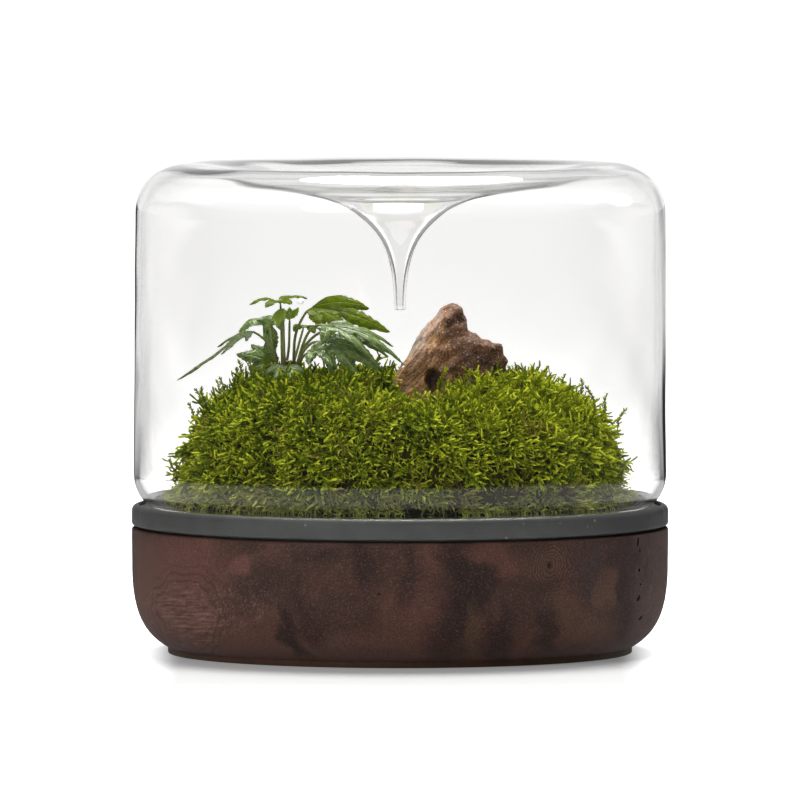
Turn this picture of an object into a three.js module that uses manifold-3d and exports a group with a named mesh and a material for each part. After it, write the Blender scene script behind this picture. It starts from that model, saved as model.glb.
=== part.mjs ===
// A glass plant terrarium. A turned walnut base carries a dark grey ring with a liner below it. The liner
// holds soil, and on the soil lie cushions of moss round a stone and a small plant. A blown glass dome stands
// in the ring, and its dished top runs down through a funnel into a drip tube.
// Millimetres, +Z up, the front faces -Y, and the origin is the middle of the base's underside.
import * as THREE from 'three';
import { ConvexHull } from 'three/addons/math/ConvexHull.js';
import { mergeVertices } from 'three/addons/utils/BufferGeometryUtils.js';
import Module from 'manifold-3d';

const wasm = await Module();
wasm.setup();

// ---- Driving dimensions ----

const SIDES = 36; // sides of every large turned piece
const SEAT_GAP = 0.3; // between a piece and what it stands in or on
const FACET_GAP = 0.35; // between neighbours whose facets differ

const RING_RADIUS = 110; // outer radius of the ring, the widest measure
const BASE_HEIGHT = 51.5; // top of the wooden base
const FOOT_RADIUS = 95.2;
const FOOT_HEIGHT = 2.5;
const FLANK_HANDLES = [[104.2, 7.6], [110.2, 15]]; // radius and height that pull the rounded flank outward
const FLANK_TOP = 38; // above this the flank is upright
const BASE_EDGE = 0.9; // rounding of the upper edge
const RECESS_RADIUS = 99.6; // recess in the base for the liner
const RECESS_FLOOR = 11.7;

const RING_TOP = 61;
const RING_SEAT_RADIUS = 107; // outside this the ring stands clear of the wood
const LINER_RADIUS = 99; // outer radius of the liner wall
const LINER_WALL = 2;
const GROOVE_INNER = 101.5; // groove in the ring for the rim of the dome
const GROOVE_OUTER = 106.9;
const GROOVE_FLOOR = 59.5;
const RING_UNDERCUT = 1; // height of the shadow gap below the ring's outer edge
const RING_SHOULDER = [[0, 3.4], [0.8, 1.2], [2.6, 0]]; // how far in from the edge and below the top

const DOME_TOP = 200.3; // the crest round the dished top
const DOME_RADIUS = 109.1; // outer radius just above the rolled foot
const DOME_UPPER_RADIUS = 108.45; // outer radius below the top corner
const GLASS_WALL = 2.5;
const CORNER_RADIUS = 20; // outer radius of the top corner
const ROLL_RADIUS = 12; // outer radius of the foot where the wall rolls inward
const ROLL_TURN = 45; // degrees
const DRIP_TIP = 140.4; // lowest point of the drip tube
const DRIP_RADIUS = 2.3;
const DRIP_BORE = 1.05;

const SOIL_LEVEL = 60.5;
const SOIL_MOUND_RADIUS = 82;
const SOIL_MOUND_RISE = 30;

const MOSS_RADIUS = 88.5; // of the cushions without their shoots
const MOSS_WAIST = 66; // height at which they are widest
const MOSS_RISE = 44;
const MOSS_FOOT = 61;
const MOSS_TUCK = 0.5; // how far the mound draws in, for each millimetre below its widest ring
const TUFT_POINTS = 420; // the mound's points, with about two tufts for each
const TUFT_HEIGHT = 7.4;
const TUFT_SWAY = 2.6;
const TUFT_FOOT = 0.8; // lowest height of a tuft's tip above the foot of the moss
const FOOT_POINTS = 44; // round the foot of the mound
const FRONDS = 22; // longer, branched shoots
const FROND_LENGTH = 10.5;
const FROND_WIDTH = 1.15; // half the width of a stem
const ROOT_DEPTH = 3;

const CROWN = new THREE.Vector3(-46.5, -6, 0); // where the plant stands
const CROWN_RADIUS = 2.1;
const CROWN_TOP = 120.2;
const CROWN_FOOT = 80.3;
const STALK_RADIUS = 0.75;
const STALK_RING = 3.5; // radius on which the leaf stalks stand round the crown
const STALK_HOLE_RADIUS = 5;
const STALK_HOLE_FLOOR = 103;
const STALK_UPRIGHT = 113; // up to this height the stalks stand straight
const BLADE_THICKNESS = 0.7;

const STONE_POLE = new THREE.Vector3(21.8, 1, 143.1);
const STONE_FOOT = 88; // height of the stone's underside, in the soil
const CAVE = new THREE.Vector3(14.2, -17.5, 111.5);
const CAVE_SIZE = [3.9, 8.5, 5.6]; // half of its width, depth and height
const CAVE_TILT = 0.25; // radians

// ---- Finishes ----

function finish(colour, roughness, extra = {}) {
  const plain = { color: colour, roughness, metalness: 0, flatShading: true };
  return new THREE.MeshStandardMaterial({ ...plain, ...extra });
}

const WALNUT = finish(0x4b3025, 0.55);
const GREY_RUBBER = finish(0x464946, 0.6);
const CLEAR_GLASS = finish(0xeef4f3, 0.05, { transparent: true, opacity: 0.3 });
const DARK_SOIL = finish(0x2b2119, 0.95);
const MOSS_GREEN = finish(0x6f8420, 0.9);
const BROWN_STONE = finish(0x7b5743, 0.6);
const BROWN_STEM = finish(0x4a3a22, 0.7);
const LEAF_GREEN = finish(0x55762a, 0.4);
const YOUNG_GREEN = finish(0x8aa336, 0.4);
const DEEP_GREEN = finish(0x2f5a35, 0.35);

// ---- Small tools ----

const UP = new THREE.Vector3(0, 0, 1);

function vector(list) {
  return new THREE.Vector3(...list);
}

function radians(degrees) {
  return THREE.MathUtils.degToRad(degrees);
}

// A repeatable stream of numbers from 0 to 1.
function randomStream(seed) {
  let state = seed;
  return () => {
    state = (state + 0x6d2b79f5) | 0;
    let mixed = Math.imul(state ^ (state >>> 15), 1 | state);
    mixed = (mixed + Math.imul(mixed ^ (mixed >>> 7), 61 | mixed)) ^ mixed;
    return ((mixed ^ (mixed >>> 14)) >>> 0) / 4294967296;
  };
}

// The closed solid that a closed geometry bounds.
function solidFrom(geometry) {
  geometry.deleteAttribute('normal');
  geometry.deleteAttribute('uv');
  const merged = mergeVertices(geometry, 1e-4);
  const corners = merged.index.array;
  const kept = [];
  for (let i = 0; i < corners.length; i += 3) {
    const [a, b, c] = [corners[i], corners[i + 1], corners[i + 2]];
    if (a !== b && b !== c && c !== a) {
      kept.push(a, b, c);
    }
  }
  return new wasm.Manifold(new wasm.Mesh({
    numProp: 3,
    vertProperties: new Float32Array(merged.attributes.position.array),
    triVerts: new Uint32Array(kept),
  }));
}

function geometryOf(points, triangles) {
  const geometry = new THREE.BufferGeometry();
  geometry.setFromPoints(points);
  geometry.setIndex(triangles);
  return geometry;
}

function geometryFrom(solid) {
  const { vertProperties, triVerts } = solid.getMesh();
  const geometry = new THREE.BufferGeometry();
  geometry.setAttribute('position', new THREE.BufferAttribute(vertProperties, 3));
  geometry.setIndex(new THREE.BufferAttribute(triVerts, 1));
  return geometry;
}

// A profile of [radius, height] points turned about the vertical axis. It starts and ends on the axis, or
// closes on itself, and runs upwards on the outside.
function turned(profile, sides = SIDES) {
  const points = profile.map(([radius, height]) => new THREE.Vector2(radius, height));
  return new THREE.LatheGeometry(points, sides).rotateX(Math.PI / 2);
}

// A closed skin from a low pole over rings of points to a high pole. Rings run anticlockwise seen from above.
function skinOver(lowPole, rings, highPole) {
  const count = rings[0].length;
  const points = [lowPole, ...rings.flat(), highPole];
  const last = points.length - 1;
  const at = (ring, i) => 1 + ring * count + (i % count);
  const triangles = [];
  for (let i = 0; i < count; i += 1) {
    triangles.push(0, at(0, i + 1), at(0, i));
    triangles.push(last, at(rings.length - 1, i), at(rings.length - 1, i + 1));
    for (let ring = 0; ring + 1 < rings.length; ring += 1) {
      triangles.push(at(ring, i), at(ring, i + 1), at(ring + 1, i + 1));
      triangles.push(at(ring, i), at(ring + 1, i + 1), at(ring + 1, i));
    }
  }
  return geometryOf(points, triangles);
}

// Points on an arc in the profile plane, both ends included.
function arc(centreRadius, centreHeight, size, fromDegrees, toDegrees, steps) {
  const points = [];
  for (let i = 0; i <= steps; i += 1) {
    const angle = radians(THREE.MathUtils.lerp(fromDegrees, toDegrees, i / steps));
    points.push([centreRadius + size * Math.cos(angle), centreHeight + size * Math.sin(angle)]);
  }
  return points;
}

// The largest single body of a solid, without the loose scraps that a cut leaves.
function largestBody(solid) {
  const bodies = solid.decompose();
  return bodies.reduce((best, body) => (body.volume() > best.volume() ? body : best));
}

// ---- Base, ring and soil ----

function woodBase() {
  const [lowHandle, highHandle] = FLANK_HANDLES.map((point) => new THREE.Vector2(...point));
  const flank = new THREE.CubicBezierCurve(
    new THREE.Vector2(FOOT_RADIUS, FOOT_HEIGHT),
    lowHandle,
    highHandle,
    new THREE.Vector2(RING_RADIUS - 0.1, FLANK_TOP),
  );
  const flankSteps = 7;
  return turned([
    [0, 0],
    [FOOT_RADIUS, 0],
    ...flank.getPoints(flankSteps).map((point) => [point.x, point.y]),
    [RING_RADIUS, BASE_HEIGHT - BASE_EDGE],
    [RING_RADIUS - BASE_EDGE + 0.1, BASE_HEIGHT],
    [RECESS_RADIUS, BASE_HEIGHT],
    [RECESS_RADIUS, RECESS_FLOOR],
    [0, RECESS_FLOOR],
  ]);
}

function growingTray() {
  const linerFoot = RECESS_FLOOR + SEAT_GAP;
  const linerInner = LINER_RADIUS - LINER_WALL;
  return turned([
    [0, linerFoot],
    [LINER_RADIUS, linerFoot],
    [LINER_RADIUS, BASE_HEIGHT],
    [RING_SEAT_RADIUS, BASE_HEIGHT],
    [RING_SEAT_RADIUS + 0.4, BASE_HEIGHT + RING_UNDERCUT - 0.1],
    [RING_RADIUS - 1, BASE_HEIGHT + RING_UNDERCUT],
    [RING_RADIUS, BASE_HEIGHT + RING_UNDERCUT + 1.4],
    ...RING_SHOULDER.map(([inward, below]) => [RING_RADIUS - inward, RING_TOP - below]),
    [GROOVE_OUTER, RING_TOP],
    [GROOVE_OUTER, GROOVE_FLOOR],
    [GROOVE_INNER, GROOVE_FLOOR],
    [GROOVE_INNER, RING_TOP],
    [linerInner, RING_TOP],
    [linerInner, linerFoot + LINER_WALL],
    [0, linerFoot + LINER_WALL],
  ]);
}

// Rings of a low mound that is steep at its edge and flat on top.
function moundRing(radius, level, rise, degrees) {
  const turn = radians(degrees);
  return [radius * Math.sqrt(Math.max(Math.cos(turn), 0)), level + rise * Math.sin(turn)];
}

const SOIL_TURNS = [0, 35, 66]; // degrees up the mound, from its edge

function soilBed(stoneHollow, plantHole) {
  const edge = LINER_RADIUS - LINER_WALL - SEAT_GAP;
  const floor = RECESS_FLOOR + LINER_WALL + 2 * SEAT_GAP;
  const mound = SOIL_TURNS.map((turn) => moundRing(SOIL_MOUND_RADIUS, SOIL_LEVEL, SOIL_MOUND_RISE, turn));
  const bed = solidFrom(turned([
    [0, floor],
    [edge, floor],
    [edge, SOIL_LEVEL],
    ...mound,
    [0, SOIL_LEVEL + SOIL_MOUND_RISE],
  ]));
  return bed.subtract(stoneHollow).subtract(plantHole);
}

// ---- Glass dome ----

// The underside of the dish, the funnel and the drip tube, from under the crest down to the tip.
const FUNNEL_UNDERSIDE = [
  [70, 195.6],
  [50, 192.3],
  [36, 189.7],
  [25, 185.4],
  [16, 178.4],
  [8.6, 170.4],
  [4.4, 160.8],
  [2.8, 150.4],
  [DRIP_RADIUS, DRIP_TIP + 1.3],
];

// The same line moved to the other face of the glass. The wall thins towards the tip, down to the drip bore.
function funnelUpperFace() {
  const wallAtTip = DRIP_RADIUS - DRIP_BORE;
  return FUNNEL_UNDERSIDE.map(([radius, height], i) => {
    const before = FUNNEL_UNDERSIDE[Math.max(i - 1, 0)];
    const after = FUNNEL_UNDERSIDE[Math.min(i + 1, FUNNEL_UNDERSIDE.length - 1)];
    const along = new THREE.Vector2(after[0] - before[0], after[1] - before[1]).normalize();
    const wall = THREE.MathUtils.lerp(GLASS_WALL, wallAtTip, i / (FUNNEL_UNDERSIDE.length - 1));
    return [radius + along.y * wall, height - along.x * wall];
  });
}

function glassDome() {
  const rollRadius = DOME_RADIUS - ROLL_RADIUS;
  const rollHeight = GROOVE_FLOOR + SEAT_GAP + ROLL_RADIUS * Math.sin(radians(ROLL_TURN));
  const cornerRadius = DOME_UPPER_RADIUS - CORNER_RADIUS;
  const cornerHeight = DOME_TOP - CORNER_RADIUS;
  const inside = GLASS_WALL;
  const profile = [
    ...arc(rollRadius, rollHeight, ROLL_RADIUS, -ROLL_TURN, 0, 2),
    ...arc(cornerRadius, cornerHeight, CORNER_RADIUS, 0, 90, 3),
    ...funnelUpperFace(),
    [DRIP_BORE + 0.5, DRIP_TIP],
    ...[...FUNNEL_UNDERSIDE].reverse(),
    ...arc(cornerRadius, cornerHeight, CORNER_RADIUS - inside, 90, 0, 3),
    ...arc(rollRadius, rollHeight, ROLL_RADIUS - inside, 0, -ROLL_TURN, 2),
  ];
  return turned([...profile, profile[0]]);
}

// ---- Stone ----

// The stone seen from the front: height, left edge, the ridge between its two faces, right edge, and how far
// it reaches forward and back.
const STONE_LEVELS = [
  [STONE_FOOT, 2, 18, 40, -13, 15],
  [96, -1, 17, 43.5, -18, 19],
  [104, -3.4, 16, 44.6, -20, 20.5],
  [110.5, -4.4, 15.5, 44, -19, 20],
  [116, -0.8, 15, 43.3, -17, 18.5],
  [121, 2.6, 15.5, 43, -15.4, 17],
  [125.4, 4.8, 16, 41.8, -13.6, 15],
  [128.2, 6.2, 17, 36.4, -12.2, 12.6],
  [131.5, 8, 18, 29.8, -10.6, 10.6],
  [135.4, 11, 19.4, 27.4, -8.6, 9],
  [139.2, 15.4, 20.6, 26.2, -6.2, 7],
  [142, 18.6, 21.6, 24.4, -3.4, 4],
];
const STONE_CORNERS = 16;
const STONE_SQUARENESS = 0.86; // 1 for oval levels, less for squarer ones

// Small bumps over the stone, from sines that never line up.
function stoneBump(x, y, z) {
  const broad = Math.sin(0.31 * x + 0.17 * z + 1.1) * Math.cos(0.27 * y - 0.21 * z);
  const fine = Math.sin(0.83 * x - 0.61 * z) * Math.sin(0.71 * y + 0.9 * z + 0.4);
  return 1.0 * broad + 0.6 * fine;
}

// One level of the stone. Its corners lie on quarter curves through the left edge, the front ridge, the right
// edge and the back.
function stoneRing([height, left, ridge, right, front, back], grow) {
  const ring = [];
  const depthMiddle = (front + back) / 2;
  for (let i = 0; i < STONE_CORNERS; i += 1) {
    const turn = (i / STONE_CORNERS) * 2 * Math.PI;
    const reachX = Math.cos(turn) > 0 ? right - ridge : ridge - left;
    const reachY = Math.sin(turn) > 0 ? back - depthMiddle : depthMiddle - front;
    const across = Math.sign(Math.cos(turn)) * Math.abs(Math.cos(turn)) ** STONE_SQUARENESS;
    const away = Math.sign(Math.sin(turn)) * Math.abs(Math.sin(turn)) ** STONE_SQUARENESS;
    const x = ridge + reachX * across;
    const y = depthMiddle + reachY * away;
    const outward = new THREE.Vector3(across, away, 0).normalize();
    const bump = stoneBump(x, y, height);
    ring.push(new THREE.Vector3(x, y, height).addScaledVector(outward, grow + bump));
  }
  return ring;
}

function stoneBody(grow) {
  const rings = STONE_LEVELS.map((level) => stoneRing(level, grow));
  const foot = STONE_POLE.clone().setX(20).setZ(STONE_FOOT - grow);
  const peak = STONE_POLE.clone().addScaledVector(UP, grow);
  rings[0].forEach((point) => point.addScaledVector(UP, -grow));
  return solidFrom(skinOver(foot, rings, peak));
}

function stone() {
  const cave = new THREE.SphereGeometry(1, 8, 6).scale(...CAVE_SIZE).rotateZ(CAVE_TILT);
  cave.translate(CAVE.x, CAVE.y, CAVE.z);
  return stoneBody(0).subtract(solidFrom(cave));
}

// ---- Plant ----

// Each leaf: where its stalk stands round the crown, the stalk's way, the way its blade faces, and its lobes
// anticlockwise seen from that side, each with a tip, half a width and the height that it arches.
const LEAVES = [
  {
    name: 'leaf_top', finish: LEAF_GREEN, stand: 243, way: [[-48.4, -8, 130]], base: [-48.9, -5, 143.2],
    up: [-0.05, -0.1, 1],
    lobes: [
      { tip: [-61.9, -9, 142.8], half: 2.7, arch: 2.6 },
      { tip: [-55, -18, 142.2], half: 2.9, arch: 2 },
      { tip: [-44.5, -18, 143.6], half: 2.8, arch: 1.6 },
      { tip: [-37.7, -5, 145.4], half: 2.6, arch: 2.2 },
      { tip: [-44, 8, 145.2], half: 2.5, arch: 2 },
    ],
  },
  {
    name: 'leaf_back_left', finish: DEEP_GREEN, stand: 145, way: [[-52, 1, 124]], base: [-54.1, 7, 136],
    up: [-0.1, -0.35, 0.93],
    lobes: [
      { tip: [-60, 19, 134.5], half: 3, arch: 1.5 },
      { tip: [-65.5, 5, 132.4], half: 3.1, arch: 2.2 },
      { tip: [-51.6, 2.4, 125.4], half: 2.7, arch: 1.2 },
      { tip: [-47.4, 9, 129.6], half: 2.8, arch: 3 },
    ],
  },
  {
    name: 'leaf_long', finish: LEAF_GREEN, stand: 210, way: [[-52.2, -8.6, 124.8], [-57, -9, 130]],
    base: [-60.3, -9, 132],
    up: [-0.5, -0.12, 0.86],
    lobes: [
      { tip: [-75, 2, 125.2], half: 2.9, arch: 1.5 },
      { tip: [-91.2, -12, 112], half: 3.3, arch: 0.6 },
      { tip: [-73, -20, 123.2], half: 2.9, arch: 1.2 },
      { tip: [-62.8, -18, 128.6], half: 2.2, arch: 0.6 },
    ],
  },
  {
    name: 'leaf_low_left', finish: DEEP_GREEN, stand: 178, way: [], base: [-51.6, -5, 119],
    up: [0.1, -0.8, 0.6],
    lobes: [
      { tip: [-55, -3, 127.5], half: 2.2, arch: 0.5 },
      { tip: [-60.5, -1.5, 125.8], half: 2.3, arch: 0.8 },
      { tip: [-66, -5, 121.6], half: 3, arch: 1.4 },
      { tip: [-61, -8, 116.4], half: 2.4, arch: 1 },
    ],
  },
  {
    name: 'leaf_front', finish: DEEP_GREEN, stand: 275, way: [], base: [-46.6, -12.6, 118],
    up: [0, -0.35, 0.94],
    lobes: [
      { tip: [-56.2, -17, 114.8], half: 2.7, arch: 1.4 },
      { tip: [-51.2, -24, 113.6], half: 2.9, arch: 1.4 },
      { tip: [-44.2, -24.5, 113.4], half: 2.9, arch: 1.4 },
      { tip: [-38.2, -17, 115.2], half: 2.5, arch: 1.2 },
    ],
  },
  {
    name: 'leaf_large', finish: LEAF_GREEN, stand: 30, way: [[-42.9, -2, 129], [-39.2, 1, 138]],
    base: [-35.9, 1, 141.2],
    up: [0.1, -0.8, 0.59],
    lobes: [
      { tip: [-31.2, -9, 134], half: 4.2, arch: 1.5 },
      { tip: [-22.6, -9, 134.4], half: 4.6, arch: 2 },
      { tip: [-3.9, -7, 131.6], half: 4.3, arch: 3.6 },
      { tip: [-12.6, 1, 140.8], half: 4.2, arch: 4.4 },
    ],
  },
  {
    name: 'leaf_drooping', finish: DEEP_GREEN, stand: 345, way: [[-39.4, -9, 127], [-35.2, -12, 133.8]],
    base: [-29.6, -13.6, 134.8],
    up: [0.25, -0.45, 0.86],
    lobes: [
      { tip: [-31.5, -24, 127.5], half: 2.9, arch: 2 },
      { tip: [-12, -25, 121.8], half: 3.3, arch: 3 },
      { tip: [1.2, -20.5, 119.4], half: 3, arch: 4.4 },
      { tip: [-2.6, -13.5, 126], half: 2.4, arch: 3.4 },
      { tip: [-12.4, -6.5, 127.2], half: 2.9, arch: 4 },
    ],
  },
  {
    name: 'leaf_low_right', finish: DEEP_GREEN, stand: 305, way: [[-40, -13, 121.4]],
    base: [-35.4, -16.5, 125],
    up: [0.1, -0.4, 0.91],
    lobes: [
      { tip: [-37.5, -26.5, 119.6], half: 2.4, arch: 1.2 },
      { tip: [-27.5, -28.5, 118.6], half: 2.8, arch: 2 },
      { tip: [-20.2, -21, 121.6], half: 2.8, arch: 2.4 },
      { tip: [-25, -12, 124.4], half: 2.2, arch: 2 },
    ],
  },
  {
    name: 'leaf_back_right', finish: DEEP_GREEN, stand: 68, way: [[-42.6, 3.5, 122]],
    base: [-39.5, 9.4, 132.4],
    up: [0.1, 0.1, 1],
    lobes: [
      { tip: [-30.4, 12, 130], half: 2.7, arch: 2 },
      { tip: [-35, 21, 129.6], half: 2.8, arch: 2 },
      { tip: [-43.6, 20, 130.4], half: 2.6, arch: 2 },
    ],
  },
  {
    name: 'leaf_young', finish: YOUNG_GREEN, stand: 108, way: [[-45.6, -1.6, 124]], base: [-45.2, 1, 136.6],
    up: [0.1, -0.9, 0.4],
    lobes: [
      { tip: [-41.4, 0.6, 141.2], half: 1.7, arch: 0.4 },
      { tip: [-45.2, 2.4, 141.4], half: 1.6, arch: 0.3 },
      { tip: [-48.8, 0.6, 140.8], half: 1.7, arch: 0.4 },
    ],
  },
];

// Shares of a lobe's length: the cut between two lobes, the shoulder beside the first and the last, and the
// first point of the midrib.
const SINUS_AT = 0.42;
const SHOULDER_AT = 0.24;
const MIDRIB_AT = 0.32;
const SHOULDER_WIDTH = 0.85; // as a share of the lobe's half width
const LOBE_ROWS = [
  { at: 0.56, width: 1, lift: -0.22 },
  { at: 0.68, width: 0.62, lift: -0.12 },
];

// A blade of one thickness on the sheet that its lobes span. Both faces have the same triangles.
function leafBlade(leaf, thickness) {
  const base = vector(leaf.base);
  const up = vector(leaf.up).normalize();
  const lobes = leaf.lobes.map((lobe) => {
    const tip = vector(lobe.tip);
    const bend = base.clone().lerp(tip, 0.5).addScaledVector(up, 2 * lobe.arch);
    const midrib = new THREE.QuadraticBezierCurve3(base, bend, tip);
    return { ...lobe, midrib };
  });
  const sideOf = (lobe, at) => up.clone().cross(lobe.midrib.getTangent(at)).normalize();
  const shoulder = (lobe, sign) => lobe.midrib.getPoint(SHOULDER_AT)
    .addScaledVector(sideOf(lobe, SHOULDER_AT), sign * SHOULDER_WIDTH * lobe.half);

  const points = [base];
  const add = (point) => points.push(point) - 1;
  const faces = [];
  const outline = [0];
  const first = lobes[0];
  const last = lobes[lobes.length - 1];
  let right = add(shoulder(first, -1));
  outline.push(right);
  lobes.forEach((lobe, i) => {
    const next = lobes[i + 1];
    const leftPoint = next
      ? lobe.midrib.getPoint(SINUS_AT).lerp(next.midrib.getPoint(SINUS_AT), 0.5)
      : shoulder(last, 1);
    const left = add(leftPoint);
    const middle = add(lobe.midrib.getPoint(MIDRIB_AT));
    faces.push([0, right, middle], [0, middle, left]);
    const leftEdge = [left];
    let row = { left, middle, right };
    for (const { at, width, lift } of LOBE_ROWS) {
      const centre = lobe.midrib.getPoint(at);
      const side = sideOf(lobe, at).multiplyScalar(width * lobe.half);
      const raised = centre.clone().addScaledVector(up, lift * lobe.half);
      const ahead = {
        left: add(raised.clone().add(side)),
        middle: add(centre),
        right: add(raised.clone().sub(side)),
      };
      faces.push([row.middle, row.right, ahead.right], [row.middle, ahead.right, ahead.middle]);
      faces.push([row.left, row.middle, ahead.middle], [row.left, ahead.middle, ahead.left]);
      outline.push(ahead.right);
      leftEdge.push(ahead.left);
      row = ahead;
    }
    const tip = add(vector(lobe.tip));
    faces.push([row.right, tip, row.middle], [row.middle, tip, row.left]);
    outline.push(tip, ...leftEdge.reverse());
    right = left;
  });
  return thickened(points, faces, outline, thickness);
}

// A sheet of triangles given a thickness, half on each side, and closed along its outline.
function thickened(points, faces, outline, thickness) {
  const normals = points.map(() => new THREE.Vector3());
  for (const [a, b, c] of faces) {
    const across = points[b].clone().sub(points[a]).cross(points[c].clone().sub(points[a]));
    [a, b, c].forEach((corner) => normals[corner].add(across));
  }
  normals.forEach((normal) => normal.normalize());
  const half = thickness / 2;
  const upper = points.map((point, i) => point.clone().addScaledVector(normals[i], half));
  const lower = points.map((point, i) => point.clone().addScaledVector(normals[i], -half));
  const below = points.length;
  const triangles = [];
  for (const [a, b, c] of faces) {
    triangles.push(a, b, c, below + a, below + c, below + b);
  }
  outline.forEach((from, i) => {
    const to = outline[(i + 1) % outline.length];
    triangles.push(from, below + from, below + to, from, below + to, to);
  });
  return solidFrom(geometryOf([...upper, ...lower], triangles));
}

// A stalk from its stand by the crown to just inside its blade.
function leafStalk(leaf, radius) {
  const turn = radians(leaf.stand);
  const stand = new THREE.Vector3(Math.cos(turn), Math.sin(turn), 0).multiplyScalar(STALK_RING).add(CROWN);
  const end = vector(leaf.base).addScaledVector(vector(leaf.up).normalize(), 0.25);
  const path = new THREE.CatmullRomCurve3([
    stand.clone().setZ(STALK_HOLE_FLOOR + SEAT_GAP),
    stand.clone().setZ(STALK_UPRIGHT),
    ...leaf.way.map(vector),
    end,
  ]);
  const section = new THREE.Shape();
  section.absarc(0, 0, radius, 0, 2 * Math.PI);
  return solidFrom(new THREE.ExtrudeGeometry(section, { steps: 7, curveSegments: 3, extrudePath: path }));
}

function leafSolid(leaf, grow = 0) {
  const blade = leafBlade(leaf, BLADE_THICKNESS + 2 * grow);
  return blade.add(leafStalk(leaf, STALK_RADIUS + grow));
}

function plantCrown() {
  const sides = 10;
  return turned([
    [0, CROWN_FOOT],
    [0.9, CROWN_FOOT],
    [CROWN_RADIUS, CROWN_FOOT + 16],
    [CROWN_RADIUS, CROWN_TOP - 3],
    [0.6 * CROWN_RADIUS, CROWN_TOP - 0.6],
    [0, CROWN_TOP],
  ], sides).translate(CROWN.x, CROWN.y, 0);
}

// The plain stepped hole that the crown and the stalks stand in.
function plantHole() {
  const sides = 16;
  const narrow = CROWN_RADIUS + 0.4;
  const aboveMoss = 130;
  return solidFrom(turned([
    [0, CROWN_FOOT - SEAT_GAP],
    [narrow, CROWN_FOOT - SEAT_GAP],
    [narrow, STALK_HOLE_FLOOR],
    [STALK_HOLE_RADIUS, STALK_HOLE_FLOOR],
    [STALK_HOLE_RADIUS, aboveMoss],
    [0, aboveMoss],
  ], sides).translate(CROWN.x, CROWN.y, 0));
}

// ---- Moss ----

const MOSS_MIDDLE = new THREE.Vector2(10, 2); // the cushions meet under the stone
const CUSHION_GAP = 0.6;
const CUSHIONS = [
  { name: 'moss_left', from: 130, to: 205, colour: 0x748a24 },
  { name: 'moss_front', from: 205, to: 285, colour: 0x66791c },
  { name: 'moss_right', from: 285, to: 385, colour: 0x82962a },
  { name: 'moss_back', from: 25, to: 130, colour: 0x6a7d20 },
];
const FOOT_TURN = THREE.MathUtils.radToDeg(Math.asin((MOSS_FOOT - MOSS_WAIST) / MOSS_RISE));
const GOLDEN_ANGLE = Math.PI * (3 - Math.sqrt(5));

// How far the moss rises above or sinks below the plain mound: a valley before the stone, a rise round the
// plant, and low lumps.
function mossRelief(x, y) {
  const valley = -9 * Math.exp(-(((x - 7) / 17) ** 2) - ((y + 32) / 25) ** 2);
  const rise = 2.6 * Math.exp(-(((x + 52) / 22) ** 2) - (y / 34) ** 2);
  const lumps = 0.9 * Math.sin(x / 8 + 1.3) * Math.cos(y / 10 - 0.6);
  return valley + rise + lumps;
}

// A point between the shoots, on the moss of which they stand out. Degrees run up the mound, from its widest
// ring.
function mossPoint(degrees, azimuth) {
  const [radius, height] = moundRing(MOSS_RADIUS, MOSS_WAIST, MOSS_RISE, degrees);
  const tuckedIn = radius - MOSS_TUCK * Math.max(MOSS_WAIST - height, 0);
  const x = tuckedIn * Math.cos(azimuth);
  const y = tuckedIn * Math.sin(azimuth);
  const share = THREE.MathUtils.smoothstep(Math.sin(radians(degrees)), 0, 0.8);
  return new THREE.Vector3(x, y, height + share * mossRelief(x, y));
}

function mossNormal(degrees, azimuth) {
  const step = 0.5;
  const climb = mossPoint(degrees + step, azimuth).sub(mossPoint(degrees - step, azimuth));
  const round = mossPoint(degrees, azimuth + 0.02).sub(mossPoint(degrees, azimuth - 0.02));
  return round.cross(climb).normalize();
}

// The turn up the mound below which a share of its surface lies.
function turnAtShare(share) {
  const steps = 80;
  const turns = Array.from({ length: steps + 1 }, (_, i) => THREE.MathUtils.lerp(FOOT_TURN, 90, i / steps));
  const rings = turns.map((turn) => mossPoint(turn, Math.PI));
  const areas = [0];
  for (let i = 1; i <= steps; i += 1) {
    const strip = rings[i - 1].distanceTo(rings[i]) * Math.abs(rings[i - 1].x + rings[i].x);
    areas.push(areas[i - 1] + strip);
  }
  const wanted = share * areas[steps];
  const above = Math.max(areas.findIndex((area) => area >= wanted), 1);
  const part = (wanted - areas[above - 1]) / (areas[above] - areas[above - 1]);
  return THREE.MathUtils.lerp(turns[above - 1], turns[above], part);
}

// Evenly spread places on the mound above a share of its surface: for each a direction from a ball's middle
// and its turn and azimuth on the mound.
function mossPlaces(count, phase, lowest = 0) {
  return Array.from({ length: count }, (_, i) => {
    const share = lowest + ((1 - lowest) * (i + 0.5)) / count;
    const azimuth = (i * GOLDEN_ANGLE + phase) % (2 * Math.PI);
    const flat = Math.sqrt(1 - share * share);
    const direction = new THREE.Vector3(flat * Math.cos(azimuth), flat * Math.sin(azimuth), share);
    return { direction, azimuth, turn: turnAtShare(share) };
  });
}

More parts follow.
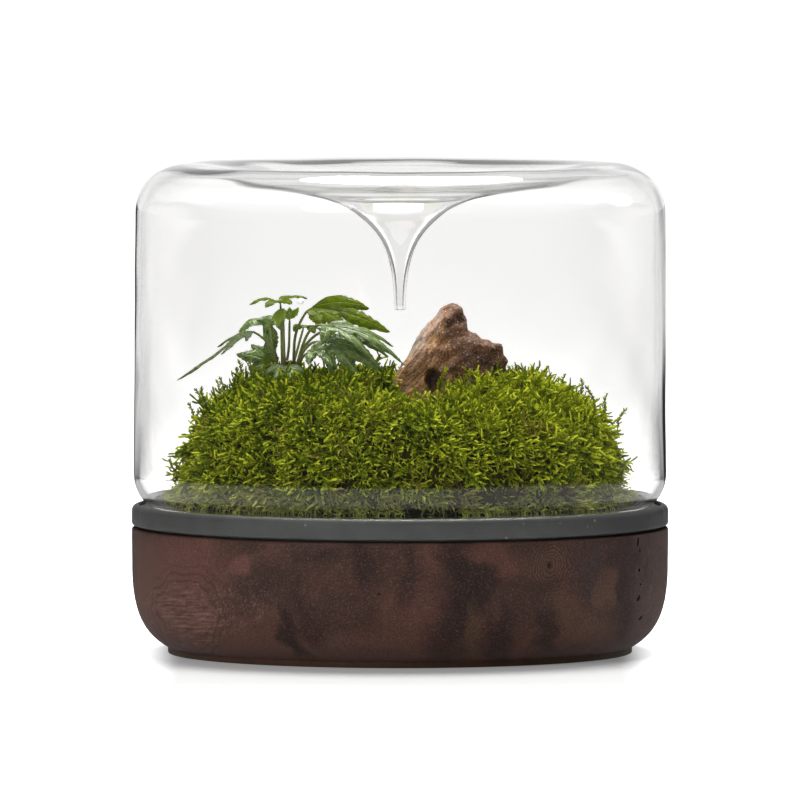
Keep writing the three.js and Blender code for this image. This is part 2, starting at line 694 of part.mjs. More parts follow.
// The whole mound as one skin. Its points are joined as the hull of their directions joins them, and on every
// triangle above the foot stands a three-sided tuft, unless it would meet a leaf or the stone.
function mossMound(keepClear) {
  const random = randomStream(7331);
  const places = mossPlaces(TUFT_POINTS, 0).map(({ direction, azimuth, turn }) => (
    { direction, point: mossPoint(turn, azimuth) }
  ));
  for (let i = 0; i < FOOT_POINTS; i += 1) {
    const azimuth = (i / FOOT_POINTS) * 2 * Math.PI;
    const direction = new THREE.Vector3(Math.cos(azimuth), Math.sin(azimuth), -0.02);
    places.push({ direction, point: mossPoint(FOOT_TURN, azimuth), foot: true });
  }
  places.push({ direction: UP.clone().negate(), point: UP.clone().multiplyScalar(MOSS_FOOT), foot: true });

  const number = new Map(places.map(({ direction }, i) => [direction, i]));
  const points = places.map(({ point }) => point);
  const triangles = [];
  for (const face of new ConvexHull().setFromPoints(places.map(({ direction }) => direction)).faces) {
    const corners = [face.edge.prev, face.edge, face.edge.next].map((edge) => number.get(edge.head().point));
    if (corners.every((corner) => places[corner].foot)) {
      triangles.push(...corners);
      continue;
    }
    const [a, b, c] = corners.map((corner) => points[corner]);
    const middle = a.clone().add(b).add(c).divideScalar(3);
    const outward = b.clone().sub(a).cross(c.clone().sub(a)).normalize();
    const sway = new THREE.Vector3(random() - 0.5, random() - 0.5, random() - 0.5).multiplyScalar(TUFT_SWAY);
    const height = TUFT_HEIGHT * (0.7 + 0.6 * random());
    const lean = outward.multiplyScalar(0.9).addScaledVector(UP, 0.3);
    const tip = middle.clone().addScaledVector(lean, height).add(sway);
    tip.z = Math.max(tip.z, MOSS_FOOT + TUFT_FOOT);
    const tuft = solidFrom(geometryOf([a, b, c, tip], [0, 2, 1, 0, 1, 3, 1, 2, 3, 2, 0, 3]));
    if (keepClear.some((solid) => !solid.intersect(tuft).isEmpty())) {
      triangles.push(...corners);
      continue;
    }
    points.push(tip);
    const top = points.length - 1;
    triangles.push(corners[0], corners[1], top, corners[1], corners[2], top, corners[2], corners[0], top);
  }
  return solidFrom(geometryOf(points, triangles));
}

// A three-sided spike, widest at its root or part of the way up.
function spike(root, tip, half, twist, waisted = true) {
  const along = tip.clone().sub(root).normalize();
  const side = along.clone().cross(Math.abs(along.z) < 0.9 ? UP : new THREE.Vector3(1, 0, 0)).normalize();
  const ringAt = (share, size) => [0, 1, 2].map((corner) => {
    const spoke = side.clone().applyAxisAngle(along, twist + (corner * 2 * Math.PI) / 3);
    return root.clone().lerp(tip, share).addScaledVector(spoke, size);
  });
  const rings = waisted ? [ringAt(0.02, 0.6 * half), ringAt(0.5, half)] : [ringAt(0.02, half)];
  return solidFrom(skinOver(root, rings, tip));
}

// Branches of a frond: how far up the stem, and to which side.
const BRANCHES = [[0.5, 1], [0.62, -1], [0.75, 1]];
const BRANCH_REACH = 0.34; // as a share of the stem
const BRANCH_WIDTH = 0.62;

// A stem with short branches to both sides, as feather moss has.
function frond(root, tip, half, twist) {
  const along = tip.clone().sub(root);
  const forward = along.clone().normalize();
  const side = forward.clone().cross(UP).applyAxisAngle(forward, twist).normalize();
  const parts = BRANCHES.map(([share, sign]) => {
    const start = root.clone().lerp(tip, share);
    const reach = along.length() * BRANCH_REACH * (1.25 - share);
    const end = start.clone().addScaledVector(forward, 0.85 * reach).addScaledVector(side, sign * reach);
    return spike(start, end, BRANCH_WIDTH * half, twist, false);
  });
  return [spike(root, tip, half, twist), ...parts];
}

// The fronds that stand out of the tufts, spread evenly. One that would meet a leaf or the stone is cut short
// or left out.
function mossFronds(keepClear) {
  const random = randomStream(20417);
  const fronds = [];
  for (const { azimuth, turn } of mossPlaces(FRONDS, 1.1, 0.08)) {
    const onMoss = mossPoint(turn, azimuth);
    const sway = new THREE.Vector3(random() - 0.5, random() - 0.5, random() - 0.5);
    const lean = mossNormal(turn, azimuth).multiplyScalar(0.8).addScaledVector(UP, 0.4)
      .addScaledVector(sway, 0.5).normalize();
    const length = FROND_LENGTH * (0.85 + 0.3 * random());
    const twist = 2 * Math.PI * random();
    const root = onMoss.clone().addScaledVector(lean, -ROOT_DEPTH);
    for (const share of [1, 0.7]) {
      const parts = frond(root, onMoss.clone().addScaledVector(lean, length * share), FROND_WIDTH, twist);
      if (parts.every((part) => keepClear.every((solid) => solid.intersect(part).isEmpty()))) {
        fronds.push({ root, parts });
        break;
      }
    }
  }
  return fronds;
}

// The soil mound with a gap over it, and below it down past the foot of the moss.
function soilHollow() {
  const deep = MOSS_FOOT - 8;
  const mound = SOIL_TURNS.map((turn) => moundRing(SOIL_MOUND_RADIUS, SOIL_LEVEL, SOIL_MOUND_RISE, turn));
  return solidFrom(turned([
    [0, deep],
    [SOIL_MOUND_RADIUS + SEAT_GAP, deep],
    ...mound.map(([radius, height]) => [radius + SEAT_GAP, height + SEAT_GAP]),
    [0, SOIL_LEVEL + SOIL_MOUND_RISE + SEAT_GAP],
  ]));
}

// The upright wedge that one cushion fills, half a gap inside its two borders.
function cushionWedge({ from, to }) {
  const [start, end] = [radians(from), radians(to)];
  const middle = (start + end) / 2;
  const back = CUSHION_GAP / 2 / Math.sin((end - start) / 2);
  const pastRing = 160;
  const pastMoss = 120;
  const spoke = (angle, size) => new THREE.Vector2(Math.cos(angle), Math.sin(angle)).multiplyScalar(size);
  const apex = spoke(middle, back).add(MOSS_MIDDLE);
  const corner = (angle) => spoke(angle, pastRing).add(apex);
  const plan = new THREE.Shape([apex, corner(start), corner(middle), corner(end)]);
  const prism = new THREE.ExtrudeGeometry(plan, { depth: pastMoss, bevelEnabled: false });
  return solidFrom(prism.translate(0, 0, MOSS_FOOT - 10));
}

function inCushion({ from, to }, point) {
  const angle = Math.atan2(point.y - MOSS_MIDDLE.y, point.x - MOSS_MIDDLE.x);
  const degrees = (THREE.MathUtils.radToDeg(angle) + 720 - from) % 360;
  return degrees < to - from;
}

// ---- The terrarium ----

const terrarium = new THREE.Group();

function place(name, geometry, material) {
  const flat = geometry.toNonIndexed();
  flat.computeVertexNormals();
  const mesh = new THREE.Mesh(flat, material);
  mesh.name = name;
  terrarium.add(mesh);
}

const stoneHollow = stoneBody(FACET_GAP);
const hole = plantHole();

place('wood_base', woodBase(), WALNUT);
place('growing_tray', growingTray(), GREY_RUBBER);
place('soil_bed', geometryFrom(soilBed(stoneHollow, hole)), DARK_SOIL);
place('glass_dome', glassDome(), CLEAR_GLASS);
place('stone', geometryFrom(stone()), BROWN_STONE);
place('plant_crown', plantCrown(), BROWN_STEM);

for (const leaf of LEAVES) {
  place(leaf.name, geometryFrom(leafSolid(leaf)), leaf.finish);
}

const clearance = 0.6;
const keepClear = [...LEAVES.map((leaf) => leafSolid(leaf, clearance)), stoneBody(clearance)];
const mound = mossMound(keepClear);
const fronds = mossFronds(keepClear);
const hollows = wasm.Manifold.union([soilHollow(), stoneHollow, hole]);

for (const cushion of CUSHIONS) {
  const own = fronds.filter(({ root }) => inCushion(cushion, root)).flatMap(({ parts }) => parts);
  const grown = wasm.Manifold.union([mound, ...own]).intersect(cushionWedge(cushion));
  const seated = largestBody(grown.subtract(hollows));
  place(cushion.name, geometryFrom(seated), finish(cushion.colour, MOSS_GREEN.roughness));
}

export default terrarium;
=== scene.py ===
"""Looks of a glass plant terrarium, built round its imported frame.

A turned walnut base carries a dark grey ring, and a blown glass dome stands in the ring. Inside, cushions of
feather moss lie round a stone and a small plant with wet leaves. The sizes in the classes are millimetres,
the scene is in metres, and the front faces -Y.
"""
import logging
import math
from dataclasses import dataclass, field
from enum import Enum
from typing import Callable, Optional, Sequence

import bpy
import numpy as np
from mathutils import Euler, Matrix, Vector
from mathutils.bvhtree import BVHTree


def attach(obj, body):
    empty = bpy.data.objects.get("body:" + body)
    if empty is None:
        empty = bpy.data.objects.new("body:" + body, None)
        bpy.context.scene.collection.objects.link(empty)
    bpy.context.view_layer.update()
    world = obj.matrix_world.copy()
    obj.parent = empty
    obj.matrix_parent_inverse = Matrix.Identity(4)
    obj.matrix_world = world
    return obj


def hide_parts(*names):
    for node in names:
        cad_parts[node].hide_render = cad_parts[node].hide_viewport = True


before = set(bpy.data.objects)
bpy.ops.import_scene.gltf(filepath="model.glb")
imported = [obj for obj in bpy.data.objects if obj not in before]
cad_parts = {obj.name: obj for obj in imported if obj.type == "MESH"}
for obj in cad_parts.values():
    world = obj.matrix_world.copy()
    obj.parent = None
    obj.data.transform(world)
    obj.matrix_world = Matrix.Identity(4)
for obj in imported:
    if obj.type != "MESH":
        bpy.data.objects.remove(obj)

LOG = logging.getLogger("terrarium")
MM = 0.001
BODY = "root"
UP = np.array([0.0, 0.0, 1.0])
TOUCHING = 2e-6  # metres under which two vertices are one
BENCH_LENGTH = 100  # a moss shoot is made this long on the bench, so that its fine vertices stay apart

Pair = tuple[float, float]
Triple = tuple[float, float, float]
Profile = list[Pair]
Piece = bpy.types.Object
Socket = bpy.types.NodeSocket
Rule = Callable[[np.ndarray], np.ndarray]


class Slot(Enum):
    """The material slots."""

    WALNUT = "walnut"
    RUBBER = "grey_rubber"
    SOIL = "soil"
    GLASS = "clear_glass"
    STONE = "brown_stone"
    STEM = "stem"
    LEAF = "leaf"
    DEEP_LEAF = "deep_leaf"
    YOUNG_LEAF = "young_leaf"
    MOSS = "moss"


# ---- Numbers ----


def smooth(low: float, high: float, value: np.ndarray) -> np.ndarray:
    """A soft step: 0 below low, 1 above high and a smooth rise between."""
    share = np.clip((value - low) / (high - low), 0, 1)
    return share * share * (3 - 2 * share)


def unit(vectors: np.ndarray) -> np.ndarray:
    """Vectors along the last axis, each brought to length 1."""
    return vectors / np.maximum(np.linalg.norm(vectors, axis=-1, keepdims=True), 1e-9)


def arc(middle: Pair, size: float, start: float, end: float, steps: int) -> Profile:
    """Points on an arc in the profile plane, both ends included. Its angles are in degrees, from outward to up."""
    turns = [math.radians(start + (end - start) * i / steps) for i in range(steps + 1)]
    return [(middle[0] + size * math.cos(t), middle[1] + size * math.sin(t)) for t in turns]


def flowing(points: Sequence[Sequence[float]], steps: int) -> np.ndarray:
    """A smooth line that runs through every given point.

    Args:
        points: the points that the line passes through.
        steps: steps from each point to the next.

    Returns:
        The points of the line, both ends included.
    """
    known = np.asarray(points, float)
    known = np.vstack([2 * known[0] - known[1], known, 2 * known[-1] - known[-2]])
    line = []
    for i in range(1, len(known) - 2):
        before, here, there, after = known[i - 1 : i + 3]
        for share in np.arange(steps) / steps:
            line.append(0.5 * (
                2 * here + (there - before) * share
                + (2 * before - 5 * here + 4 * there - after) * share**2
                + (3 * here - before - 3 * there + after) * share**3
            ))
    return np.vstack([line, known[-2]])


@dataclass(frozen=True)
class Swell:
    """A smooth random field: waves in many directions, of about one length."""

    length: float
    seed: int
    count: int = 14

    def at(self, points: np.ndarray) -> np.ndarray:
        """The field's height.

        Args:
            points: places, one a row.

        Returns:
            A value for each, mostly from -1 to 1.
        """
        random = np.random.default_rng(self.seed)
        ways = unit(random.normal(size=(self.count, 3)))
        pitch = 2 * math.pi / (self.length * random.uniform(0.7, 1.5, self.count))
        phase = random.uniform(0, 2 * math.pi, self.count)
        waves = np.sin(points @ (ways * pitch[:, None]).T + phase)
        return waves.sum(axis=1) * 1.4 / math.sqrt(self.count)


# ---- The modelling bench ----


class Bench:
    """Short ways to Blender's own modelling tools."""

    @staticmethod
    def clear() -> None:
        """Leave nothing selected."""
        bpy.ops.object.select_all(action="DESELECT")

    @staticmethod
    def take(*pieces: Piece) -> None:
        """Select these pieces alone, with the first one active."""
        Bench.clear()
        for piece in pieces:
            piece.select_set(True)
        bpy.context.view_layer.objects.active = pieces[0]

    @staticmethod
    def named(name: str) -> Piece:
        """Give the piece just made its name.

        Args:
            name: the name.

        Returns:
            The piece.
        """
        piece = bpy.context.object
        piece.name = piece.data.name = name
        return piece

    @staticmethod
    def turn(name: str, profile: Sequence[Pair], steps: int) -> Piece:
        """Turn a profile about the upright axis.

        Args:
            name: the piece's name.
            profile: points of radius and height that close on themselves or end on the axis.
            steps: steps round the axis.

        Returns:
            The turned piece, closed and facing outwards.
        """
        Bench.clear()
        bpy.ops.mesh.primitive_plane_add(size=MM)
        piece = Bench.named(name)
        bpy.ops.object.mode_set(mode="EDIT")
        bpy.ops.mesh.merge(type="CENTER")
        bpy.ops.transform.translate(value=(profile[0][0] * MM, 0, profile[0][1] * MM))
        for (radius, height), (wider, higher) in zip(profile, profile[1:]):
            move = ((wider - radius) * MM, 0, (higher - height) * MM)
            bpy.ops.mesh.extrude_region_move(TRANSFORM_OT_translate={"value": move})
        bpy.ops.mesh.select_all(action="SELECT")
        bpy.ops.mesh.remove_doubles(threshold=1e-7)
        bpy.ops.mesh.spin(steps=steps, angle=2 * math.pi, center=(0, 0, 0), axis=(0, 0, 1))
        Bench.close()
        return piece

    @staticmethod
    def close() -> None:
        """Merge doubles, turn all faces outwards and leave edit mode."""
        bpy.ops.mesh.select_all(action="SELECT")
        bpy.ops.mesh.remove_doubles(threshold=TOUCHING)
        bpy.ops.mesh.normals_make_consistent(inside=False)
        bpy.ops.object.mode_set(mode="OBJECT")

    @staticmethod
    def rows(items: bpy.types.bpy_prop_collection, label: str) -> np.ndarray:
        """Read one vector from each item of a mesh.

        Args:
            items: the mesh's vertices or its normals.
            label: the vector's name in Blender.

        Returns:
            The vectors, one a row.
        """
        flat = np.empty(len(items) * 3)
        items.foreach_get(label, flat)
        return flat.reshape(-1, 3)

    @staticmethod
    def points(piece: Piece) -> np.ndarray:
        """The piece's vertices in millimetres, one a row."""
        return Bench.rows(piece.data.vertices, "co") / MM

    @staticmethod
    def normals(piece: Piece) -> np.ndarray:
        """The piece's vertex normals, one a row."""
        return Bench.rows(piece.data.vertex_normals, "vector")

    @staticmethod
    def mark(mesh: bpy.types.Mesh, label: str, values: np.ndarray) -> None:
        """Give each vertex a number of its own, under a name that a material can read."""
        layer = mesh.attributes.new(label, "FLOAT", "POINT")
        layer.data.foreach_set("value", values.astype(np.float32))

    @staticmethod
    def reshape(piece: Piece, rule: Rule) -> None:
        """Move a piece's vertices.

        Args:
            piece: the piece to shape.
            rule: gives the new places, in millimetres, from the old ones.
        """
        moved = rule(Bench.points(piece)) * MM
        piece.data.vertices.foreach_set("co", moved.ravel())
        piece.data.update()

    @staticmethod
    def modify(piece: Piece, kind: str, **settings: object) -> None:
        """Add a modifier and apply it.

        Args:
            piece: the piece to change.
            kind: Blender's name for the modifier.
            **settings: the modifier's own settings.
        """
        Bench.take(piece)
        modifier = piece.modifiers.new(kind.title(), kind)
        for setting, value in settings.items():
            setattr(modifier, setting, value)
        bpy.ops.object.modifier_apply(modifier=modifier.name)

    @staticmethod
    def roughen(piece: Piece, size: float, height: float, depth: int = 2) -> None:
        """Raise and sink a surface by a cloud pattern.

        Args:
            piece: the piece to roughen.
            size: size of the clouds, in millimetres.
            height: the whole height between low and high, in millimetres.
            depth: number of finer layers.
        """
        clouds = bpy.data.textures.new("clouds", "CLOUDS")
        clouds.noise_scale = size * MM
        clouds.noise_depth = depth
        Bench.modify(piece, "DISPLACE", texture=clouds, strength=height * MM, mid_level=0.5)
        bpy.data.textures.remove(clouds)

    @staticmethod
    def refine(piece: Piece, levels: int, simple: bool = False) -> None:
        """Subdivide a piece, rounding it unless it is to stay simple."""
        kind = "SIMPLE" if simple else "CATMULL_CLARK"
        Bench.modify(piece, "SUBSURF", levels=levels, render_levels=levels, subdivision_type=kind)

    @staticmethod
    def shade(piece: Piece, degrees: float = 35) -> None:
        """Shade a piece smooth up to an angle between faces."""
        Bench.take(piece)
        bpy.ops.object.shade_smooth_by_angle(angle=math.radians(degrees))

    @staticmethod
    def tube(name: str, lines: Sequence[np.ndarray], sizes: Sequence[np.ndarray], sides: int) -> Piece:
        """Tubes along lines, as one piece.

        Args:
            name: the piece's name.
            lines: the middle line of each tube, in millimetres.
            sizes: the radius at each point of each line, in millimetres.
            sides: number of sides of the tubes.

        Returns:
            The tubes as a mesh, with pointed ends closed.
        """
        Bench.clear()
        bpy.ops.curve.primitive_bezier_circle_add(radius=1)
        section = bpy.context.object
        section.data.splines.clear()
        ring = section.data.splines.new("POLY")
        ring.points.add(sides - 1)
        ring.use_cyclic_u = True
        for i in range(sides):
            turn = 2 * math.pi * i / sides
            ring.points[i].co = (math.cos(turn) * MM, math.sin(turn) * MM, 0, 1)
        Bench.clear()
        bpy.ops.curve.primitive_nurbs_path_add()
        piece = Bench.named(name)
        curve = piece.data
        curve.splines.clear()
        for line, size in zip(lines, sizes):
            spline = curve.splines.new("POLY")
            spline.points.add(len(line) - 1)
            spline.points.foreach_set("co", np.column_stack([line * MM, np.ones(len(line))]).ravel())
            spline.points.foreach_set("radius", np.asarray(size, float))
        curve.dimensions = "3D"
        curve.twist_mode = "MINIMUM"
        curve.bevel_mode = "OBJECT"
        curve.bevel_object = section
        curve.use_fill_caps = True
        Bench.take(piece)
        bpy.ops.object.convert(target="MESH")
        bpy.data.objects.remove(section)
        bpy.ops.object.mode_set(mode="EDIT")
        Bench.close()
        return piece

    @staticmethod
    def place(name: str, mesh: bpy.types.Mesh) -> Piece:
        """Put a finished mesh into the scene.

        Args:
            name: the piece's name.
            mesh: its mesh.

        Returns:
            The piece.
        """
        piece = bpy.data.objects.new(name, mesh)
        bpy.context.scene.collection.objects.link(piece)
        return piece

    @staticmethod
    def join(name: str, pieces: Sequence[Piece]) -> Piece:
        """Make several pieces one.

        Args:
            name: the name of the one.
            pieces: the pieces, of which the first is kept.

        Returns:
            The joined piece.
        """
        Bench.take(*pieces)
        if len(pieces) > 1:
            bpy.ops.object.join()
        return Bench.named(name)

    @staticmethod
    def settle(piece: Piece, material: bpy.types.Material, slot: Slot, *nodes: str) -> Piece:
        """Dress a finished piece and let it ride on the terrarium.

        Args:
            piece: the finished piece.
            material: its finish.
            slot: the slot for that finish; not used.
            *nodes: the frame's nodes that the piece stands for.

        Returns:
            The same piece.
        """
        piece.data.materials.clear()
        piece.data.materials.append(material)
        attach(piece, BODY)
        if nodes:
            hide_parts(*nodes)
        LOG.info("%s: %d vertices, %d faces", piece.name, len(piece.data.vertices), len(piece.data.polygons))
        return piece


# ---- Material building ----


class Tree:
    """A short way to build a node tree."""

    def __init__(self, tree: bpy.types.NodeTree) -> None:
        """Start from an empty tree."""
        self.tree = tree
        tree.nodes.clear()

    def add(self, kind: str, values: Optional[dict] = None, **settings: object) -> bpy.types.Node:
        """Add a node.

        Args:
            kind: the node's type, without the leading ShaderNode.
            values: what goes into its sockets, by name or number: a value or another node's output.
            **settings: the node's own settings.

        Returns:
            The new node.
        """
        node = self.tree.nodes.new(kind if kind.startswith("Node") else "ShaderNode" + kind)
        for setting, value in settings.items():
            setattr(node, setting, value)
        for socket, value in (values or {}).items():
            self.feed(node.inputs[socket], value)
        return node

    def feed(self, socket: Socket, value: object) -> None:
        """Fill a socket.

        Args:
            socket: the socket.
            value: a value, or another node's output, which is linked.
        """
        if isinstance(value, Socket):
            self.tree.links.new(value, socket)
        elif isinstance(value, tuple) and len(value) == 3 and socket.type == "RGBA":
            socket.default_value = (*value, 1)
        else:
            socket.default_value = value

    def math(self, how: str, *values: object) -> Socket:
        """Work out a number from one or more others, taken in from left to right.

        Args:
            how: the Math node's own name for the sum.
            *values: the numbers.

        Returns:
            The result.
        """
        total = values[0]
        for value in values[1:] or (0.0,):
            total = self.add("Math", {0: total, 1: value}, operation=how).outputs[0]
        return total

    def times(self, *values: object) -> Socket:
        """The product of numbers."""
        return self.math("MULTIPLY", *values)

    def plus(self, *values: object) -> Socket:
        """The sum of numbers."""
        return self.math("ADD", *values)

    def minus(self, first: object, second: object) -> Socket:
        """The difference of two numbers."""
        return self.math("SUBTRACT", first, second)

    def most(self, *values: object) -> Socket:
        """The largest of numbers."""
        return self.math("MAXIMUM", *values)

    def parts(self, vector: Socket) -> bpy.types.NodeOutputs:
        """A vector's X, Y and Z."""
        return self.add("SeparateXYZ", {0: vector}).outputs

    def vector(self, how: str, first: object, second: object = (0.0, 0.0, 0.0)) -> Socket:
        """A sum of two vectors, by the Vector Math node's own names."""
        return self.add("VectorMath", {0: first, 1: second}, operation=how).outputs[0]

    def span(self, value: Socket, low: float, high: float, start: float = 0.0, end: float = 1.0) -> Socket:
        """A value mapped from low and high to start and end, with soft ends."""
        values = {"Value": value, "From Min": low, "From Max": high, "To Min": start, "To Max": end}
        return self.add("MapRange", values, interpolation_type="SMOOTHSTEP").outputs[0]

    def blend(self, share: object, first: object, second: object, how: str = "MIX") -> Socket:
        """One colour laid over another."""
        node = self.add("Mix", {0: share, 6: first, 7: second}, data_type="RGBA", blend_type=how)
        return node.outputs[2]

    def coats(self, colour: object, *coats: tuple) -> Socket:
        """Lay colours over one another.

        Args:
            colour: the lowest colour.
            *coats: for each coat a value, where on it the coat begins and is full, its strength and its colour.

        Returns:
            The colour on top.
        """
        for value, low, high, strength, over in coats:
            colour = self.blend(self.span(value, low, high, 0.0, strength), colour, over)
        return colour

    def noise(self, place: Socket, size: float, detail: float = 3.0, rough: float = 0.5, bend: float = 0.0) -> Socket:
        """A cloud pattern with features of a size in millimetres, from 0 to 1."""
        values = {"Vector": place, "Scale": 1 / (size * MM), "Detail": detail, "Roughness": rough}
        return self.add("TexNoise", {**values, "Distortion": bend}).outputs["Fac"]

    def cells(self, place: Socket, size: float, feature: str = "F1") -> bpy.types.Node:
        """A cell pattern with cells of a size in millimetres."""
        return self.add("TexVoronoi", {"Vector": place, "Scale": 1 / (size * MM)}, feature=feature)

    def stretch(self, place: Socket, sizes: Triple, slant: float = 0.0) -> Socket:
        """A place turned about Y by some degrees and then stretched, so that patterns on it run one way."""
        turned = self.add("VectorRotate", {"Vector": place, "Axis": (0.0, 1.0, 0.0), "Angle": math.radians(slant)})
        return self.vector("MULTIPLY", turned.outputs[0], sizes)

    def group(self, tree: bpy.types.NodeTree, values: dict) -> bpy.types.NodeOutputs:
        """The outputs of a node group placed with its own values."""
        return self.add("Group", values, node_tree=tree).outputs

    def spot(self, place: Socket, middle: Triple, size: Triple, turn: float = 0.0) -> bpy.types.NodeOutputs:
        """A soft patch, with its middle and size in millimetres, turned about Y by some radians."""
        values = {"Middle": tuple(v * MM for v in middle), "Size": tuple(v * MM for v in size)}
        return self.group(soft_spot(), {"Place": place, "Turn": turn, **values})

    def specks(self, place: Socket, scale: float, share: float) -> Socket:
        """Small specks, by how fine they are and the share of places that have one."""
        return self.group(fine_specks(), {"Place": place, "Scale": scale, "Share": share})[0]

    def film(self, place: Socket, size: float, dry: float, wet: float) -> bpy.types.NodeOutputs:
        """A wet film with patches of a size in millimetres, by its roughness where dry and where wet."""
        return self.group(wet_film(), {"Place": place, "Size": size * MM, "Dry": dry, "Wet": wet})

    def surface(self, colour: object, rough: object, normal: Socket, gloss: float = 0.5, coat: float = 0.0) -> Socket:
        """A surface.

        Args:
            colour: its colour.
            rough: its roughness.
            normal: its bumped normal.
            gloss: how strongly it mirrors.
            coat: how much of a clear coat lies on it.

        Returns:
            The shader.
        """
        values = {"Base Color": colour, "Roughness": rough, "Normal": normal, "Specular IOR Level": gloss}
        if coat:
            values.update({"Coat Weight": coat, "Coat Roughness": 0.1})
        return self.add("BsdfPrincipled", values).outputs[0]

    def lit_through(self, surface: Socket, share: float, light: dict) -> Socket:
        """A surface through which a share of the light comes, by what goes into the Translucent shader."""
        through = self.add("BsdfTranslucent", light).outputs[0]
        return self.add("MixShader", {0: share, 1: surface, 2: through}).outputs[0]


def group_of(name: str, inputs: dict, outputs: dict, build: Callable) -> bpy.types.NodeTree:
    """A node group, built once and found again by name.

    Args:
        name: the group's name.
        inputs: for each input its kind of socket and its usual value.
        outputs: for each output its kind of socket.
        build: is given the tree and the input node's sockets, and returns what feeds each output.

    Returns:
        The group.
    """
    known = bpy.data.node_groups.get(name)
    if known:
        return known
    tree = bpy.data.node_groups.new(name, "ShaderNodeTree")
    for label, (kind, value) in inputs.items():
        socket = tree.interface.new_socket(label, in_out="INPUT", socket_type="NodeSocket" + kind)
        if value is not None:
            socket.default_value = value
    for label, kind in outputs.items():
        tree.interface.new_socket(label, in_out="OUTPUT", socket_type="NodeSocket" + kind)
    nodes = Tree(tree)
    entry = nodes.add("NodeGroupInput")
    way_out = nodes.add("NodeGroupOutput")
    for label, socket in build(nodes, entry.outputs).items():
        nodes.feed(way_out.inputs[label], socket)
    return tree


def soft_spot() -> bpy.types.NodeTree:
    """The group for a soft round patch at one place on the object.

    Returns:
        A group with the patch's strength from 0 to 1.
    """

    def build(nodes: Tree, given: object) -> dict:
        """Measure the way to the patch's middle, in sizes of the patch, for group_of.

        Args:
            nodes: the group's tools.
            given: the group's inputs.

        Returns:
            The group's results by name.
        """
        away = nodes.vector("SUBTRACT", given["Place"], given["Middle"])
        turned = nodes.add("VectorRotate", {"Vector": away, "Axis": (0.0, 1.0, 0.0), "Angle": given["Turn"]})
        scaled = nodes.vector("DIVIDE", turned.outputs[0], given["Size"])
        far = nodes.add("VectorMath", {0: scaled}, operation="LENGTH").outputs["Value"]
        return {"Strength": nodes.span(far, 0.35, 1.15, 1.0, 0.0), "Distance": far}

    inputs = {
        "Place": ("Vector", None), "Middle": ("Vector", (0, 0, 0)), "Size": ("Vector", (1, 1, 1)),
        "Turn": ("Float", 0.0),
    }
    return group_of("soft spot", inputs, {"Strength": "Float", "Distance": "Float"}, build)


def rays(nodes: Tree) -> dict[str, Socket]:
    """What kind of ray asks for the colour.

    Args:
        nodes: the tree of a material or of the sky.

    Returns:
        For each kind 1 or 0: "camera", "diffuse", "bent" by glass alone, and mirrored, which is "sharp" in
        glass and "dull" on all else.
    """
    path = nodes.add("LightPath").outputs
    bent = nodes.times(path["Is Transmission Ray"], nodes.math("LESS_THAN", path["Glossy Depth"], 0.5))
    mirrored = nodes.times(path["Is Glossy Ray"], nodes.minus(1.0, bent))
    sharp = nodes.times(mirrored, path["Is Singular Ray"])
    return {"camera": path["Is Camera Ray"], "diffuse": path["Is Diffuse Ray"], "bent": bent, "sharp": sharp,
            "dull": nodes.minus(mirrored, sharp)}


def fine_specks() -> bpy.types.NodeTree:
    """The group for small specks strewn over a surface, such as dust, pores and grit.

    Returns:
        A group with the specks' strength from 0 to 1.
    """

    def build(nodes: Tree, given: object) -> dict:
        """Keep the cells' middles, and drop most cells by their own random number, for group_of.

        Args:
            nodes: the group's tools.
            given: the group's inputs.

        Returns:
            The group's results by name.
        """
        cell = nodes.add("TexVoronoi", {"Vector": given["Place"], "Scale": given["Scale"]})
        dot = nodes.span(cell.outputs["Distance"], 0.12, 0.34, 1.0, 0.0)
        chance = nodes.add("SeparateColor", {0: cell.outputs["Color"]}).outputs[0]
        kept = nodes.math("LESS_THAN", chance, given["Share"])
        return {"Strength": nodes.times(dot, kept)}

    inputs = {"Place": ("Vector", None), "Scale": ("Float", 500.0), "Share": ("Float", 0.1)}
    return group_of("fine specks", inputs, {"Strength": "Float"}, build)


def wet_film() -> bpy.types.NodeTree:
    """The group for a wet surface: how rough it is and how its film of water swells.

    Returns:
        A group with a roughness and a height.
    """

    def build(nodes: Tree, given: object) -> dict:
        """Mix dry places between the wet ones, for group_of.

        Args:
            nodes: the group's tools.
            given: the group's inputs.

        Returns:
            The group's results by name.
        """
        size = nodes.math("DIVIDE", 1.0, given["Size"])
        values = {"Vector": given["Place"], "Scale": size, "Detail": 3.0, "Roughness": 0.6}
        patch = nodes.add("TexNoise", values).outputs["Fac"]
        wet = nodes.span(patch, 0.38, 0.6)
        rough = nodes.add("MapRange", {"Value": wet, "To Min": given["Dry"], "To Max": given["Wet"]}).outputs[0]
        return {"Roughness": rough, "Height": patch}

    inputs = {
        "Place": ("Vector", None), "Size": ("Float", 0.003), "Dry": ("Float", 0.5), "Wet": ("Float", 0.15),
    }
    return group_of("wet film", inputs, {"Roughness": "Float", "Height": "Float"}, build)


